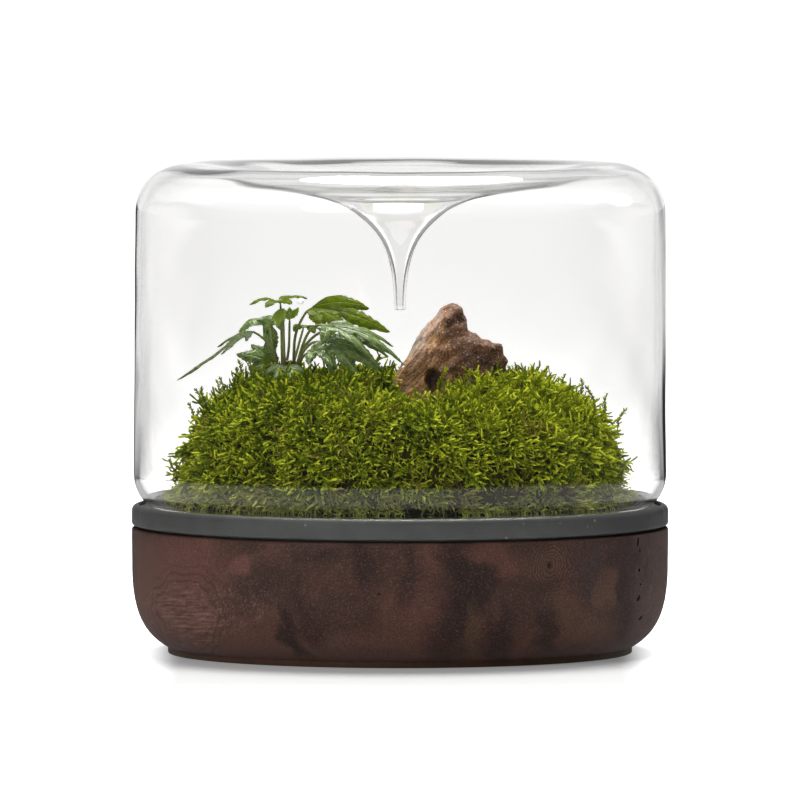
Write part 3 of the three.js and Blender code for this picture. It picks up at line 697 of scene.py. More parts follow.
@dataclass(frozen=True)
class Finish:
    """What every finish has: a name, and a material made from it."""

    name: str

    def start(self) -> tuple[bpy.types.Material, Tree, Socket]:
        """Begin the material.

        Returns:
            The material, its empty tree and the places on the object, in metres.
        """
        material = bpy.data.materials.new(self.name)
        material.use_nodes = True
        nodes = Tree(material.node_tree)
        place = nodes.add("TexCoord").outputs["Object"]
        return material, nodes, place

    @staticmethod
    def end(material: bpy.types.Material, nodes: Tree, shader: Socket, inside: Optional[Socket] = None
            ) -> bpy.types.Material:
        """Close the material.

        Args:
            material: the material.
            nodes: its tree.
            shader: what its surface does.
            inside: the medium inside the piece, if it has one.

        Returns:
            The material.
        """
        nodes.add("OutputMaterial", {"Surface": shader, **({"Volume": inside} if inside else {})})
        return material

    @staticmethod
    def bump(nodes: Tree, height: Socket, depth: float, strength: float = 1.0) -> Socket:
        """A bumped normal, from a height between 0 and 1 and the depth in millimetres."""
        values = {"Height": height, "Distance": depth * MM, "Strength": strength}
        return nodes.add("Bump", values).outputs[0]


@dataclass(frozen=True)
class WalnutFinish(Finish):
    """Dark mottled walnut, turned and oiled."""

    name: str = "oiled walnut"
    brown: Triple = (0.043, 0.0218, 0.0162)
    red: Triple = (0.093, 0.038, 0.028)
    shade: Triple = (0.019, 0.0112, 0.01)
    tan: Triple = (0.17, 0.098, 0.073)
    curl: Triple = (0.27, 0.16, 0.13)
    ring: Triple = (0.011, 0.007, 0.005)
    # painted light: the foot is lightened as if lit from the floor below
    painted_foot_light: Triple = (0.06, 0.034, 0.015)
    knot: Triple = (61.2, -90.0, 40.9)
    oval: Triple = (-86.0, -63.0, 19.5)
    deep: float = 90.0  # how far every patch reaches through the wood

    def build(self) -> bpy.types.Material:
        """The walnut: figure, clouds, rings round a knot, fibres and pores, with painted light and shade in some
        patches and at the foot.

        Returns:
            The material.
        """
        material, nodes, place = self.start()
        warp = nodes.add("TexNoise", {"Vector": place, "Scale": 60.0, "Detail": 3.0}).outputs["Color"]
        warp = nodes.vector("MULTIPLY", nodes.vector("SUBTRACT", warp, (0.5, 0.5, 0.5)), (0.022, 0.022, 0.022))
        bent = nodes.vector("ADD", place, warp)
        calm = nodes.vector("ADD", place, nodes.vector("MULTIPLY", warp, (0.55, 0.55, 0.55)))
        clouds = nodes.noise(nodes.stretch(bent, (1.0, 1.0, 0.45), 12), 26, 4, 0.6)
        reds = nodes.noise(bent, 34, 4, 0.6)
        colour = nodes.coats(self.brown, (reds, 0.42, 0.68, 0.7, self.red), (clouds, 0.5, 0.28, 0.85, self.shade))
        for middle, (wide, tall), turn, shade, share in self.figure():
            patch = nodes.spot(bent, middle, (wide, self.deep, tall), math.radians(turn))["Strength"]
            colour = nodes.blend(nodes.times(patch, share), colour, shade)
        grain = self.grain(nodes, place, bent)
        fleck = nodes.noise(nodes.stretch(place, (0.8, 0.8, 1.0)), 0.7, 4, 0.85)
        colour = nodes.coats(
            colour, (grain, 0.5, 0.75, 0.6, self.tan), (grain, 0.5, 0.3, 0.55, self.shade),
            (fleck, 0.5, 0.7, 0.5, self.tan), (fleck, 0.5, 0.32, 0.7, self.shade))
        curls = nodes.noise(nodes.stretch(bent, (1.0, 1.0, 0.5), -35), 1.7, 4, 0.75, 1.4)
        pale = nodes.spot(bent, (-68, -85, 24), (22, self.deep, 14), 0.6)["Strength"]
        colour = nodes.blend(nodes.times(nodes.span(curls, 0.52, 0.64), pale, 0.28), colour, self.curl)
        colour = nodes.blend(self.rings(nodes, calm), colour, self.ring)
        pores = nodes.specks(nodes.stretch(bent, (1.0, 1.0, 0.5)), 1000.0, 0.14)
        colour = nodes.blend(nodes.times(pores, 0.55), colour, self.shade)
        # Painted light: the lowest few millimetres are lightened, as if lit from the floor below.
        colour = nodes.coats(colour, (nodes.parts(place)[2], 0.0035, 0.0008, 0.6, self.painted_foot_light))
        height = nodes.minus(nodes.times(fleck, 0.8), nodes.times(pores, 0.8))
        normal = self.bump(nodes, height, 0.12, 0.7)
        return self.end(material, nodes, nodes.surface(colour, nodes.span(fleck, 0.3, 0.7, 0.52, 0.7), normal, 0.12))

    def grain(self, nodes: Tree, place: Socket, bent: Socket) -> Socket:
        """The long grain: level and wavy in the oval at the lower left, and upright at the far right.

        Args:
            nodes: the material's tree.
            place: the places on the object.
            bent: the same places, warped.

        Returns:
            The grain, about 0.5 where there is none.
        """
        oval = nodes.spot(bent, self.oval, (21, self.deep, 18))["Strength"]
        level = nodes.noise(nodes.stretch(place, (0.14, 0.14, 1.3), 6), 1.3, 3, 0.6, 0.5)
        upright = nodes.noise(nodes.stretch(bent, (1.8, 1.8, 0.14), 3), 1.3, 3, 0.6)
        right = nodes.span(nodes.parts(place)[0], 0.088, 0.102)
        level = nodes.times(nodes.minus(level, 0.48), oval, 1.5)
        return nodes.plus(level, nodes.times(nodes.minus(upright, 0.5), right), 0.5)

    def figure(self) -> tuple[tuple, ...]:
        """The wood's larger marks, by place on its side, among them painted light, painted shade and a painted sheen.

        Returns:
            For each mark its middle, size, turn, colour and strength.
        """
        return (
            # lighter, redder patch at the left: partly the wood's own red and partly painted light from the left
            ((-92, -62, 26), (34, 34), 0, (0.115, 0.047, 0.035), 0.62),
            # lighter band low in front: painted light from the floor below
            ((-30, -96, 6), (74, 10), 0, (0.11, 0.056, 0.044), 0.65),
            ((-50, -92, 44), (26, 5), 20, (0.09, 0.045, 0.035), 0.5),
            ((-60, -92, 14), (22, 14), 20, self.red, 0.5),
            ((-58, -93, 34), (20, 9), 35, self.shade, 0.5),
            ((-63, -90, 40), (6, 6), 0, (0.13, 0.05, 0.04), 0.6),
            ((-44, -101, 14), (5, 17), 32, self.shade, 0.9),
            ((-36, -104, 45), (12, 6), -10, self.shade, 0.6),
            ((-14, -108, 44), (5, 14), 4, self.shade, 0.6),
            ((3, -110, 38), (4, 22), 5, self.shade, 0.55),
            ((24, -107, 34), (11, 34), -6, self.shade, 0.95),
            ((33, -105, 34), (6, 26), -16, self.shade, 0.8),
            ((16, -109, 12), (7, 16), 0, self.shade, 0.5),
            ((41, -102, 13), (6, 17), 0, self.shade, 0.8),
            ((30, -106, 12), (4, 18), 8, (0.075, 0.042, 0.022), 0.6),
            ((39, -101, 46.5), (16, 6), -20, (0.1, 0.041, 0.03), 0.65),
            ((60, -92, 42), (12, 9), 0, (0.085, 0.045, 0.031), 0.6),
            ((58, -93, 15), (5, 12), 20, self.shade, 0.75),
            ((72, -83, 20), (18, 12), -30, (0.075, 0.038, 0.024), 0.8),
            ((78, -78, 40), (9, 20), -10, (0.036, 0.025, 0.024), 0.7),
            # darker patch on the right: painted shade
            ((93, -58, 30), (12, 40), 0, (0.021, 0.0135, 0.013), 0.85),
            # paler strip at the far right edge: a painted sheen
            ((102, -40, 30), (9, 60), 0, (0.052, 0.035, 0.034), 0.6),
            ((84, -70, 30), (4, 9), 0, (0.085, 0.042, 0.03), 0.7),
        )

    def rings(self, nodes: Tree, place: Socket) -> Socket:
        """Growth rings round the knot and round the oval at the lower left.

        Args:
            nodes: the material's tree.
            place: the places on the object.

        Returns:
            How strongly a ring darkens each place.
        """
        masks = []
        for middle, size, pitch, reach, strength, heart in (
                (self.knot, 1.0, 1.15, 12.0, 0.5, 1.0), (self.oval, 14.0, 2.4, 1.5, 0.4, 0.0)):
            far = nodes.spot(place, middle, (size, 1 / MM, 1.2 * size))["Distance"]
            wave = nodes.math("SINE", nodes.times(far, 2 * math.pi * size / pitch))
            near = nodes.times(nodes.span(far, reach * 0.6, reach, 1.0, 0.0), nodes.span(far, 0.6, 1.0))
            masks.append(nodes.times(nodes.span(wave, 0.0, 1.0, 0.0, strength), near))
            masks.append(nodes.span(far, 0.7, 1.5, 0.85 * heart, 0.0))
        return nodes.most(*masks)


@dataclass(frozen=True)
class RubberFinish(Finish):
    """Satin dark grey rubber with a little dust, and painted shade towards both sides."""

    name: str = "grey rubber"
    grey: Triple = (0.064, 0.067, 0.064)
    shade: Triple = (0.01, 0.01, 0.009)
    dust: Triple = (0.3, 0.3, 0.29)

    def build(self) -> bpy.types.Material:
        """The rubber: faint clouds, scuffs, painted shade towards both sides and specks of dust.

        Returns:
            The material.
        """
        material, nodes, place = self.start()
        clouds = nodes.noise(place, 9, 3)
        across = nodes.parts(place)[0]
        # Painted shade: the colour darkens towards both sides, more on the right.
        colour = nodes.coats(
            tuple(0.86 * c for c in self.grey), (clouds, 0.3, 0.7, 1.0, self.grey),
            (across, 0.05, 0.11, 0.65, self.shade), (across, -0.05, -0.11, 0.42, self.shade))
        colour = nodes.blend(nodes.times(nodes.specks(place, 420.0, 0.035), 0.4), colour, self.dust)
        normal = self.bump(nodes, nodes.noise(place, 0.5, 2), 0.03)
        return self.end(material, nodes, nodes.surface(colour, nodes.span(clouds, 0.3, 0.7, 0.4, 0.52), normal, 0.16))


@dataclass(frozen=True)
class ClearFinish(Finish):
    """Something clear, such as glass or water, through which lamps and soft light pass."""

    name: str
    bending: float
    tint: Triple
    density: float

    def build(self) -> bpy.types.Material:
        """The clear medium, bare to what the camera and mirrored rays see, and open to all other light.

        Returns:
            The material.
        """
        material, nodes, _ = self.start()
        clear = nodes.add("BsdfPrincipled", {
            "Base Color": (1.0, 1.0, 1.0), "Roughness": 0.0, "IOR": self.bending, "Transmission Weight": 1.0,
        }).outputs[0]
        path = nodes.add("LightPath").outputs
        sharp = nodes.most(path["Is Camera Ray"], path["Is Singular Ray"])
        soft = nodes.most(path["Is Shadow Ray"], nodes.minus(1.0, sharp))
        open_air = nodes.add("BsdfTransparent", {"Color": (0.97, 0.97, 0.97)}).outputs[0]
        mixed = nodes.add("MixShader", {0: soft, 1: clear, 2: open_air}).outputs[0]
        inside = nodes.add("VolumeAbsorption", {"Color": self.tint, "Density": self.density}).outputs[0]
        return self.end(material, nodes, mixed, inside if self.density else None)


@dataclass(frozen=True)
class SoilFinish(Finish):
    """Damp dark potting soil."""

    name: str = "damp soil"
    dark: Triple = (0.012, 0.008, 0.006)
    light: Triple = (0.055, 0.036, 0.024)
    grit: Triple = (0.2, 0.15, 0.1)

    def build(self) -> bpy.types.Material:
        """The soil: crumbs, pale grit and fibres.

        Returns:
            The material.
        """
        material, nodes, place = self.start()
        crumbs = nodes.noise(place, 1.6, 5, 0.7)
        colour = nodes.coats(self.dark, (crumbs, 0.35, 0.7, 1.0, self.light))
        colour = nodes.blend(nodes.times(nodes.specks(place, 500.0, 0.06), 0.5), colour, self.grit)
        wet = nodes.film(place, 4, 0.95, 0.5)["Roughness"]
        return self.end(material, nodes, nodes.surface(colour, wet, self.bump(nodes, crumbs, 1.2)))


@dataclass(frozen=True)
class StoneFinish(Finish):
    """Wet brown stone, paler on its left face, with a painted pale pink sheen on the side that faces left."""

    name: str = "brown stone"
    tan: Triple = (0.58, 0.3, 0.115)
    rust: Triple = (0.25, 0.1, 0.036)
    brown: Triple = (0.18, 0.076, 0.036)
    dark: Triple = (0.05, 0.023, 0.013)
    pale: Triple = (0.62, 0.42, 0.26)
    # the colour of the painted shade in the small cave
    cave: Triple = (0.02, 0.011, 0.007)
    painted_glint: Triple = (0.8, 0.74, 0.66)
    painted_sheen: Triple = (0.68, 0.57, 0.5)
    slant: float = 52.0

    def build(self) -> bpy.types.Material:
        """The stone: slanting beds, stains, speckles, painted glints, painted shade in its cave, a painted pale sheen
        and a wet film.

        Returns:
            The material.
        """
        material, nodes, place = self.start()
        warp = nodes.add("TexNoise", {"Vector": place, "Scale": 90.0}).outputs["Color"]
        bent = nodes.vector("ADD", place, nodes.vector("MULTIPLY", warp, (0.006, 0.006, 0.006)))
        beds = nodes.noise(nodes.stretch(bent, (0.3, 0.6, 1.5), self.slant), 4.5, 4, 0.65)
        ribs = nodes.noise(nodes.stretch(bent, (0.25, 0.6, 1.6), self.slant), 1.7, 3, 0.6)
        stains = nodes.noise(bent, 9, 5, 0.65)
        speckle = nodes.noise(place, 0.75, 3, 0.8)
        across, _, upward = nodes.parts(place)
        right = nodes.plus(across, nodes.times(nodes.minus(stains, 0.5), 0.022))
        left_face = nodes.coats(
            self.rust, (beds, 0.38, 0.62, 1.0, self.tan), (ribs, 0.48, 0.36, 0.6, self.dark),
            (ribs, 0.52, 0.66, 0.5, self.pale))
        right_face = nodes.coats(self.brown, (stains, 0.42, 0.72, 1.0, self.dark))
        colour = nodes.coats(
            left_face, (right, 0.0135, 0.0225, 1.0, right_face), (stains, 0.56, 0.72, 0.6, self.dark),
            (speckle, 0.52, 0.66, 0.55, self.pale), (speckle, 0.48, 0.34, 0.72, self.dark))
        # Painted shade: the small cave in the front is darkened in colour.
        cave = nodes.spot(place, (14.2, -17.5, 112.8), (4.4, 30, 6.2), -0.2)["Strength"]
        colour = nodes.blend(nodes.times(cave, 0.9), colour, self.cave)
        # Painted highlights: small pale specks stand in for glints on the wet surface.
        colour = nodes.blend(nodes.times(nodes.specks(place, 850.0, 0.12), 0.75), colour, self.painted_glint)
        # Painted sheen: upper faces that turn to the left get a pale pink, as if lit from the left and behind.
        aside = nodes.parts(nodes.add("NewGeometry").outputs["Normal"])[0]
        painted_sheen = nodes.times(
            nodes.span(aside, -0.45, -0.8), nodes.span(ribs, 0.4, 0.6, 0.4, 0.85),
            nodes.span(upward, 0.117, 0.127, 0.1, 1.0))
        colour = nodes.blend(painted_sheen, colour, self.painted_sheen)
        wet = nodes.film(place, 3, 0.6, 0.28)["Roughness"]
        normal = self.bump(nodes, nodes.plus(nodes.times(speckle, 0.5), beds, ribs), 0.9)
        return self.end(material, nodes, nodes.surface(colour, wet, normal, 0.18))


@dataclass(frozen=True)
class LeafFinish(Finish):
    """A wet leaf with pale veins. The blade's own map runs across and along each lobe."""

    name: str
    face: Triple
    deep: Triple
    vein: Triple
    glow: Triple
    through: float = 0.3
    wet: float = 0.14
    sheen: float = 0.26

    def build(self) -> bpy.types.Material:
        """The leaf: ribs, mottling, a paler underside and a wet film.

        Returns:
            The material.
        """
        material, nodes, place = self.start()
        across, along, _ = nodes.parts(nodes.add("UVMap").outputs[0])
        aside = nodes.math("ABSOLUTE", nodes.minus(across, 0.5))
        slant = nodes.minus(nodes.times(along, 9.0), nodes.times(aside, 4.0))
        side = nodes.span(nodes.math("PINGPONG", slant, 0.5), 0.02, 0.11, 0.75, 0.0)
        veins = nodes.most(nodes.span(aside, 0.012, 0.05, 1.0, 0.0), side)
        mottle = nodes.noise(place, 2.2, 4, 0.65)
        net = nodes.cells(place, 1.0, "DISTANCE_TO_EDGE").outputs["Distance"]
        facing = nodes.parts(nodes.add("NewGeometry").outputs["Normal"])[2]
        colour = nodes.coats(self.deep, (mottle, 0.35, 0.68, 1.0, self.face), (net, 0.12, 0.02, 0.3, self.vein))
        colour = nodes.blend(nodes.times(veins, 0.75), colour, self.vein)
        colour = nodes.coats(colour, (facing, 0.0, -0.5, 0.55, self.glow))
        film = nodes.film(place, 1.8, 0.42, self.wet)
        normal = self.bump(nodes, nodes.minus(nodes.times(film["Height"], 0.7), veins), 0.22)
        face = nodes.surface(colour, film["Roughness"], normal, self.sheen, 0.04)
        light = {"Color": nodes.blend(0.5, colour, self.glow), "Normal": normal}
        return self.end(material, nodes, nodes.lit_through(face, self.through, light))


@dataclass(frozen=True)
class StemFinish(Finish):
    """A green stalk, flushed brown towards its foot, between two heights in millimetres."""

    name: str
    green: Triple
    brown: Triple
    low: float
    high: float

    def build(self) -> bpy.types.Material:
        """The stalk: streaks along it and a flush at its foot.

        Returns:
            The material.
        """
        material, nodes, place = self.start()
        streak = nodes.noise(nodes.stretch(place, (1.0, 1.0, 0.2)), 0.8, 4, 0.7)
        rise = nodes.plus(nodes.parts(place)[2], nodes.times(nodes.minus(streak, 0.5), 0.012))
        colour = nodes.coats(
            self.brown, (rise, self.low * MM, self.high * MM, 1.0, self.green),
            (streak, 0.5, 0.7, 0.4, tuple(1.6 * c for c in self.green)))
        rough = nodes.span(streak, 0.3, 0.7, 0.25, 0.45)
        face = nodes.surface(colour, rough, self.bump(nodes, streak, 0.12))
        return self.end(material, nodes, nodes.lit_through(face, 0.15, {"Color": colour}))


@dataclass(frozen=True)
class MossFinish(Finish):
    """Feather moss: dark and brown inside, partly its own colour and partly painted shade, yellow green outside, and
    pale at the tips of the shoots, partly young growth and partly a painted highlight.
    """

    name: str = "feather moss"
    dark: Triple = (0.03, 0.042, 0.002)
    green: Triple = (0.165, 0.27, 0.003)
    yellow: Triple = (0.42, 0.5, 0.012)
    tip: Triple = (0.95, 1.0, 0.07)
    dry: Triple = (0.3, 0.2, 0.06)
    hair: Triple = (0.55, 0.58, 0.2)

    def build(self) -> bpy.types.Material:
        """The moss, from what each shoot's own attributes say.

        Returns:
            The material.
        """
        material, nodes, place = self.start()
        tip, tint, dry = (nodes.add("Attribute", attribute_name=a).outputs["Fac"] for a in ("tip", "tint", "dry"))
        patches = nodes.noise(place, 26, 3, 0.6)
        scales = nodes.noise(place, 0.35, 2, 0.7)
        across, _, upward = nodes.parts(place)
        # Painted light: the upper right of the mound turns yellower, as if lit more there.
        painted_light_right = nodes.times(nodes.span(across, 0.0, 0.065), nodes.span(upward, 0.07, 0.095), 0.3)
        lean = nodes.plus(nodes.times(tint, 0.5), nodes.times(patches, 0.9), painted_light_right)
        outer = nodes.coats(self.green, (lean, 0.45, 0.95, 1.0, self.yellow))
        # Dark where the tip value is low, partly the moss's own inner growth and partly painted shade; the pale tip
        # colour is partly young growth and partly a painted highlight.
        colour = nodes.coats(
            self.dark, (tip, 0.1, 0.68, 1.0, outer), (tip, 0.72, 1.0, 0.9, self.tip),
            (scales, 0.62, 0.35, 0.6, self.dark))
        colour = nodes.blend(dry, colour, self.dry)
        low = nodes.times(nodes.span(upward, 0.074, 0.064), nodes.span(tip, 0.1, 0.6, 0.1, 0.55))
        colour = nodes.blend(low, colour, self.hair)
        normal = self.bump(nodes, scales, 0.25)
        face = nodes.surface(colour, nodes.span(scales, 0.3, 0.7, 0.42, 0.7), normal, 0.04)
        return self.end(material, nodes, nodes.lit_through(face, 0.35, {"Color": colour, "Normal": normal}))


@dataclass(frozen=True)
class FloorFinish(Finish):
    """The pale floor of the studio, which fades to white away from the object through a painted glow."""

    name: str = "studio floor"

    def build(self) -> bpy.types.Material:
        """The floor, as the camera, the glass and glossy surfaces each see it.

        Returns:
            The material.
        """
        material, nodes, place = self.start()
        ray = rays(nodes)
        across, away, _ = nodes.parts(place)
        far = nodes.add("VectorMath", {0: place}, operation="LENGTH").outputs["Value"]
        mirrored = nodes.plus(ray["sharp"], ray["dull"])
        colour = nodes.blend(nodes.noise(place, 3, 2), (0.86, 0.86, 0.86), (0.9, 0.9, 0.9))
        colour = nodes.blend(mirrored, colour, (0.0, 0.0, 0.0))
        colour = nodes.blend(ray["camera"], colour, (0.4, 0.4, 0.4))
        # Painted light: for the camera the floor glows, less near the object, so that its shadow shows there and ends
        # where it should; glass and mirrored rays see glows of their own.
        aside = nodes.span(nodes.math("ABSOLUTE", across), 0.088, 0.107, 0.15, 1.0)
        ahead = nodes.span(nodes.math("ABSOLUTE", away), 0.17, 0.33, 0.15, 1.0)
        seen = nodes.times(nodes.most(aside, ahead), ray["camera"])
        bent = nodes.times(nodes.span(far, 0.12, 0.25, 0.3, 0.87), ray["bent"])
        table = nodes.most(nodes.span(far, 0.7, 1.0, 0.54, 0.04), nodes.span(away, 0.3, 2.5, 0.0, 0.85))
        table = nodes.times(table, self.boards(nodes, across, away), mirrored)
        shader = nodes.add("BsdfPrincipled", {
            "Base Color": colour, "Roughness": 0.9, "Specular IOR Level": 0.1,
            "Emission Color": (1.0, 1.0, 1.0), "Emission Strength": nodes.plus(seen, bent, table),
        })
        return self.end(material, nodes, shader.outputs[0])

    @staticmethod
    def boards(nodes: Tree, across: Socket, away: Socket) -> Socket:
        """Dark boards that lie far behind at both sides, and give the glass its dark edges.

        Args:
            nodes: the material's tree.
            across: the way across the floor.
            away: the way backwards.

        Returns:
            1 on the bare floor and less on the boards.
        """
        lean = nodes.math("DIVIDE", across, nodes.most(away, 0.1))
        right = nodes.times(nodes.span(lean, 0.05, 0.1), nodes.span(lean, 0.42, 0.36),
                            nodes.span(away, 3.2, 1.9, 0.3, 0.97))
        left = nodes.times(nodes.span(lean, -0.1, -0.14), nodes.span(lean, -0.3, -0.25),
                           nodes.span(away, 2.2, 3.0, 0.62, 0.95))
        return nodes.minus(1.0, nodes.times(nodes.most(right, left), nodes.span(away, 0.6, 1.0)))


# ---- The studio ----


def aimed(place: Triple, aim: Triple) -> Euler:
    """The turn of a lamp or camera that stands at one place and looks at another."""
    return (Vector(aim) - Vector(place)).to_track_quat("-Z", "Y").to_euler()


@dataclass
class Lamp:
    """A soft box: its name, place and aim in metres, size and power."""

    name: str
    place: Triple
    aim: Triple
    size: float
    power: float

    def hang(self) -> None:
        """Make the lamp."""
        data = bpy.data.lights.new(self.name, "AREA")
        data.shape = "DISK"
        data.size = self.size
        data.energy = self.power
        lamp = bpy.data.objects.new(self.name, data)
        lamp.location = self.place
        lamp.rotation_euler = aimed(self.place, self.aim)
        lamp.visible_camera = False
        lamp.visible_transmission = False
        bpy.context.scene.collection.objects.link(lamp)


@dataclass
class Studio:
    """The camera, lamps, sky and floor."""

    eye: Triple = (0.0, -5.641, 0.3946)
    aim: Triple = (0.0, 0.0, 0.1035)
    lens: float = 620.0
    floor_radius: float = 30.0
    lamps: list[Lamp] = field(default_factory=lambda: [
        Lamp("overhead soft box", (0.05, 0.5, 1.4), (0.0, 0.0, 0.1), 0.9, 50.0),
        Lamp("left soft box", (-0.95, -1.45, 1.15), (0.0, 0.0, 0.1), 0.8, 12.0),
        Lamp("right soft box", (1.5, 0.8, 0.8), (0.0, 0.0, 0.1), 0.5, 2.0),
    ])

    def build(self) -> None:
        """Set up the whole studio."""
        self.camera()
        self.sky()
        self.floor()
        for lamp in self.lamps:
            lamp.hang()
        bpy.context.scene.view_settings.view_transform = "Standard"
        LOG.info("studio: %d lamps", len(self.lamps))

    def camera(self) -> None:
        """Stand the camera where the photograph was taken from."""
        data = bpy.data.cameras.new("camera")
        data.lens = self.lens
        data.sensor_width = 36.0
        camera = bpy.data.objects.new("camera", data)
        camera.location = self.eye
        camera.rotation_euler = aimed(self.eye, self.aim)
        bpy.context.scene.collection.objects.link(camera)
        bpy.context.scene.camera = camera

    def sky(self) -> None:
        """Light from all round: white behind the object, and a darker room in reflections."""
        world = bpy.data.worlds.new("studio")
        bpy.context.scene.world = world
        world.use_nodes = True
        world.cycles.sampling_method = "NONE"
        nodes = Tree(world.node_tree)
        side, back, up = nodes.parts(nodes.add("TexCoord").outputs["Generated"])
        ray = rays(nodes)
        front = nodes.span(up, 0.0, 0.12, 0.04, 0.22)
        backdrop = nodes.times(nodes.span(back, 0.0, 0.6), nodes.span(up, 0.12, 0.45, 1.0, 0.78))
        brightness = {
            "dull": nodes.most(front, nodes.span(back, 0.965, 0.998, 0.0, 0.15)),
            "bent": nodes.span(up, 0.1, 0.7, 1.25, 0.8),
            "sharp": nodes.most(front, backdrop, nodes.span(up, 0.16, 0.4, 0.0, 0.9)),
            "diffuse": nodes.span(side, -0.3, 0.8, 0.37, 0.12),
        }
        strength = nodes.plus(*(nodes.times(ray[kind], value) for kind, value in brightness.items()), ray["camera"])
        light = nodes.add("Background", {"Color": (1.0, 1.0, 1.0), "Strength": strength})
        nodes.add("OutputWorld", {"Surface": light.outputs[0]})

    def floor(self) -> None:
        """Lay the floor."""
        Bench.clear()
        bpy.ops.mesh.primitive_circle_add(vertices=96, radius=self.floor_radius, fill_type="NGON")
        floor = Bench.named("studio_floor")
        floor.data.materials.append(FloorFinish().build())


# ---- Base, ring, soil and glass ----


@dataclass
class WoodenBase:
    """The turned base, with a rounded flank, a small foot and a recess for the liner."""

    radius: float = 110.0
    height: float = 51.5
    foot: Pair = (95.2, 2.5)
    flank: tuple[Pair, Pair, Pair] = ((104.2, 7.6), (110.2, 15.0), (109.9, 38.0))
    recess: Pair = (99.6, 11.7)
    edge: float = 0.9
    steps: int = 288
    flank_steps: int = 30
    marks: tuple[tuple[float, ...], ...] = (  # each pit's place across and up, half its width and height, its lean
        (96.6, 48.6, 0.55, 2.2, 8), (97.4, 44.8, 0.45, 0.9, 0), (97.2, 36.9, 0.45, 0.8, 0),
        (96.9, 25.4, 0.8, 1.8, 28), (97.9, 17.0, 0.45, 1.4, 35), (97.8, 31.0, 0.3, 0.5, 0),
        (-8.4, 31.0, 0.3, 0.7, 80), (20.5, 31.0, 0.3, 0.35, 0),
    )

    def profile(self) -> Profile:
        """The base's outline.

        Returns:
            The points from the middle of its underside to the middle of the recess.
        """
        s = np.arange(self.flank_steps + 1) / self.flank_steps
        weights = np.array([(1 - s) ** 3, 3 * (1 - s) ** 2 * s, 3 * (1 - s) * s**2, s**3])
        curve = [(float(r), float(z)) for r, z in weights.T @ np.array([self.foot, *self.flank])]
        under = [(0.0, 0.0), (60.0, 0.0), (94.6, 0.0), (95.0, 0.15), (95.2, 0.5)]
        wall = [(109.93, 41.0), (109.97, 44.0), (110.0, 47.0)]
        edge = arc((self.radius - self.edge, self.height - self.edge), self.edge, 0, 90, 5)
        inner = [(self.recess[0] + 0.6, self.height), (self.recess[0], self.height - 0.6)]
        return under + curve + wall + edge + inner + [self.recess, (40.0, self.recess[1]), (0.0, self.recess[1])]

    def pits(self) -> list[Piece]:
        """Balls that cut the row of small cracks and wormholes at the right, and two more in front.

        Returns:
            The cutters, of which no two meet.
        """
        wall = [(z, r) for r, z in self.profile() if r > 100.5]
        cutters = []
        for across, height, wide, tall, lean in self.marks:
            radius = float(np.interp(height, *zip(*wall)))
            surface = math.sqrt(radius**2 - across**2) - 0.2
            place = (across * MM, -surface * MM, height * MM)
            Bench.clear()
            bpy.ops.mesh.primitive_ico_sphere_add(subdivisions=2, radius=1, location=place)
            bpy.ops.transform.resize(value=(wide * MM, 1.5 * MM, tall * MM))
            bpy.ops.object.transform_apply(location=True, rotation=True, scale=True)
            cutter = bpy.context.object
            turn = math.radians(lean)
            middle = np.array(place) / MM
            Bench.reshape(cutter, lambda p: self.leant(p, middle, turn))
            cutters.append(cutter)
        return cutters

    @staticmethod
    def leant(points: np.ndarray, middle: np.ndarray, turn: float) -> np.ndarray:
        """Turn points in the plane that faces the front.

        Args:
            points: the points.
            middle: the point that stays.
            turn: the angle in radians.

        Returns:
            The turned points.
        """
        away = points - middle
        across = away[:, 0] * math.cos(turn) + away[:, 2] * math.sin(turn)
        upward = away[:, 2] * math.cos(turn) - away[:, 0] * math.sin(turn)
        return middle + np.column_stack([across, away[:, 1], upward])

    def build(self) -> None:
        """Turn the base, cut its pits and dress it."""
        piece = Bench.turn("turned_base", self.profile(), self.steps)
        cutter = Bench.join("pit_cutters", self.pits())
        Bench.modify(piece, "BOOLEAN", object=cutter, operation="DIFFERENCE", solver="EXACT")
        bpy.data.objects.remove(cutter)
        Bench.shade(piece, 30)
        Bench.settle(piece, WalnutFinish().build(), Slot.WALNUT, "wood_base")


@dataclass
class GrowingTray:
    """The grey ring with its liner, moulded in one."""

    radius: float = 110.0
    seat: float = 51.5
    top: float = 61.0
    liner: Pair = (99.0, 97.0)
    floor: Pair = (12.0, 14.0)
    groove: tuple[float, float, float] = (101.5, 106.9, 59.5)
    steps: int = 288

    def profile(self) -> Profile:
        """The tray's outline.

        Returns:
            The points from the middle of its underside to the middle of its floor.
        """
        outer, inner = self.liner
        inside, outside, deep = self.groove
        skirt = [(0.0, self.floor[0]), (50.0, self.floor[0]), (outer - 1, self.floor[0]), (outer, self.floor[0] + 1)]
        under = [(outer, self.seat), (107.0, self.seat), (107.4, self.seat + 0.9), (108.8, self.seat + 1.0)]
        lower = arc((self.radius - 1.2, self.seat + 2.2), 1.2, -90, 0, 5)
        side = [(self.radius, 55.5), (self.radius, 57.0)]
        upper = arc((self.radius - 2.6, self.top - 2.6), 2.6, 0, 90, 8)
        cut = [(outside + 0.3, self.top), (outside, self.top - 0.3), (outside, deep), (inside, deep)]
        lip = [(inside, self.top - 0.3), (inside - 0.3, self.top), (inner + 0.5, self.top), (inner, self.top - 0.5)]
        return skirt + under + lower + side + upper + cut + lip + [(inner, self.floor[1]), (0.0, self.floor[1])]

    def build(self) -> None:
        """Turn the tray and dress it."""
        piece = Bench.turn("ring_and_liner", self.profile(), self.steps)
        Bench.shade(piece, 32)
        Bench.settle(piece, RubberFinish().build(), Slot.RUBBER, "growing_tray")


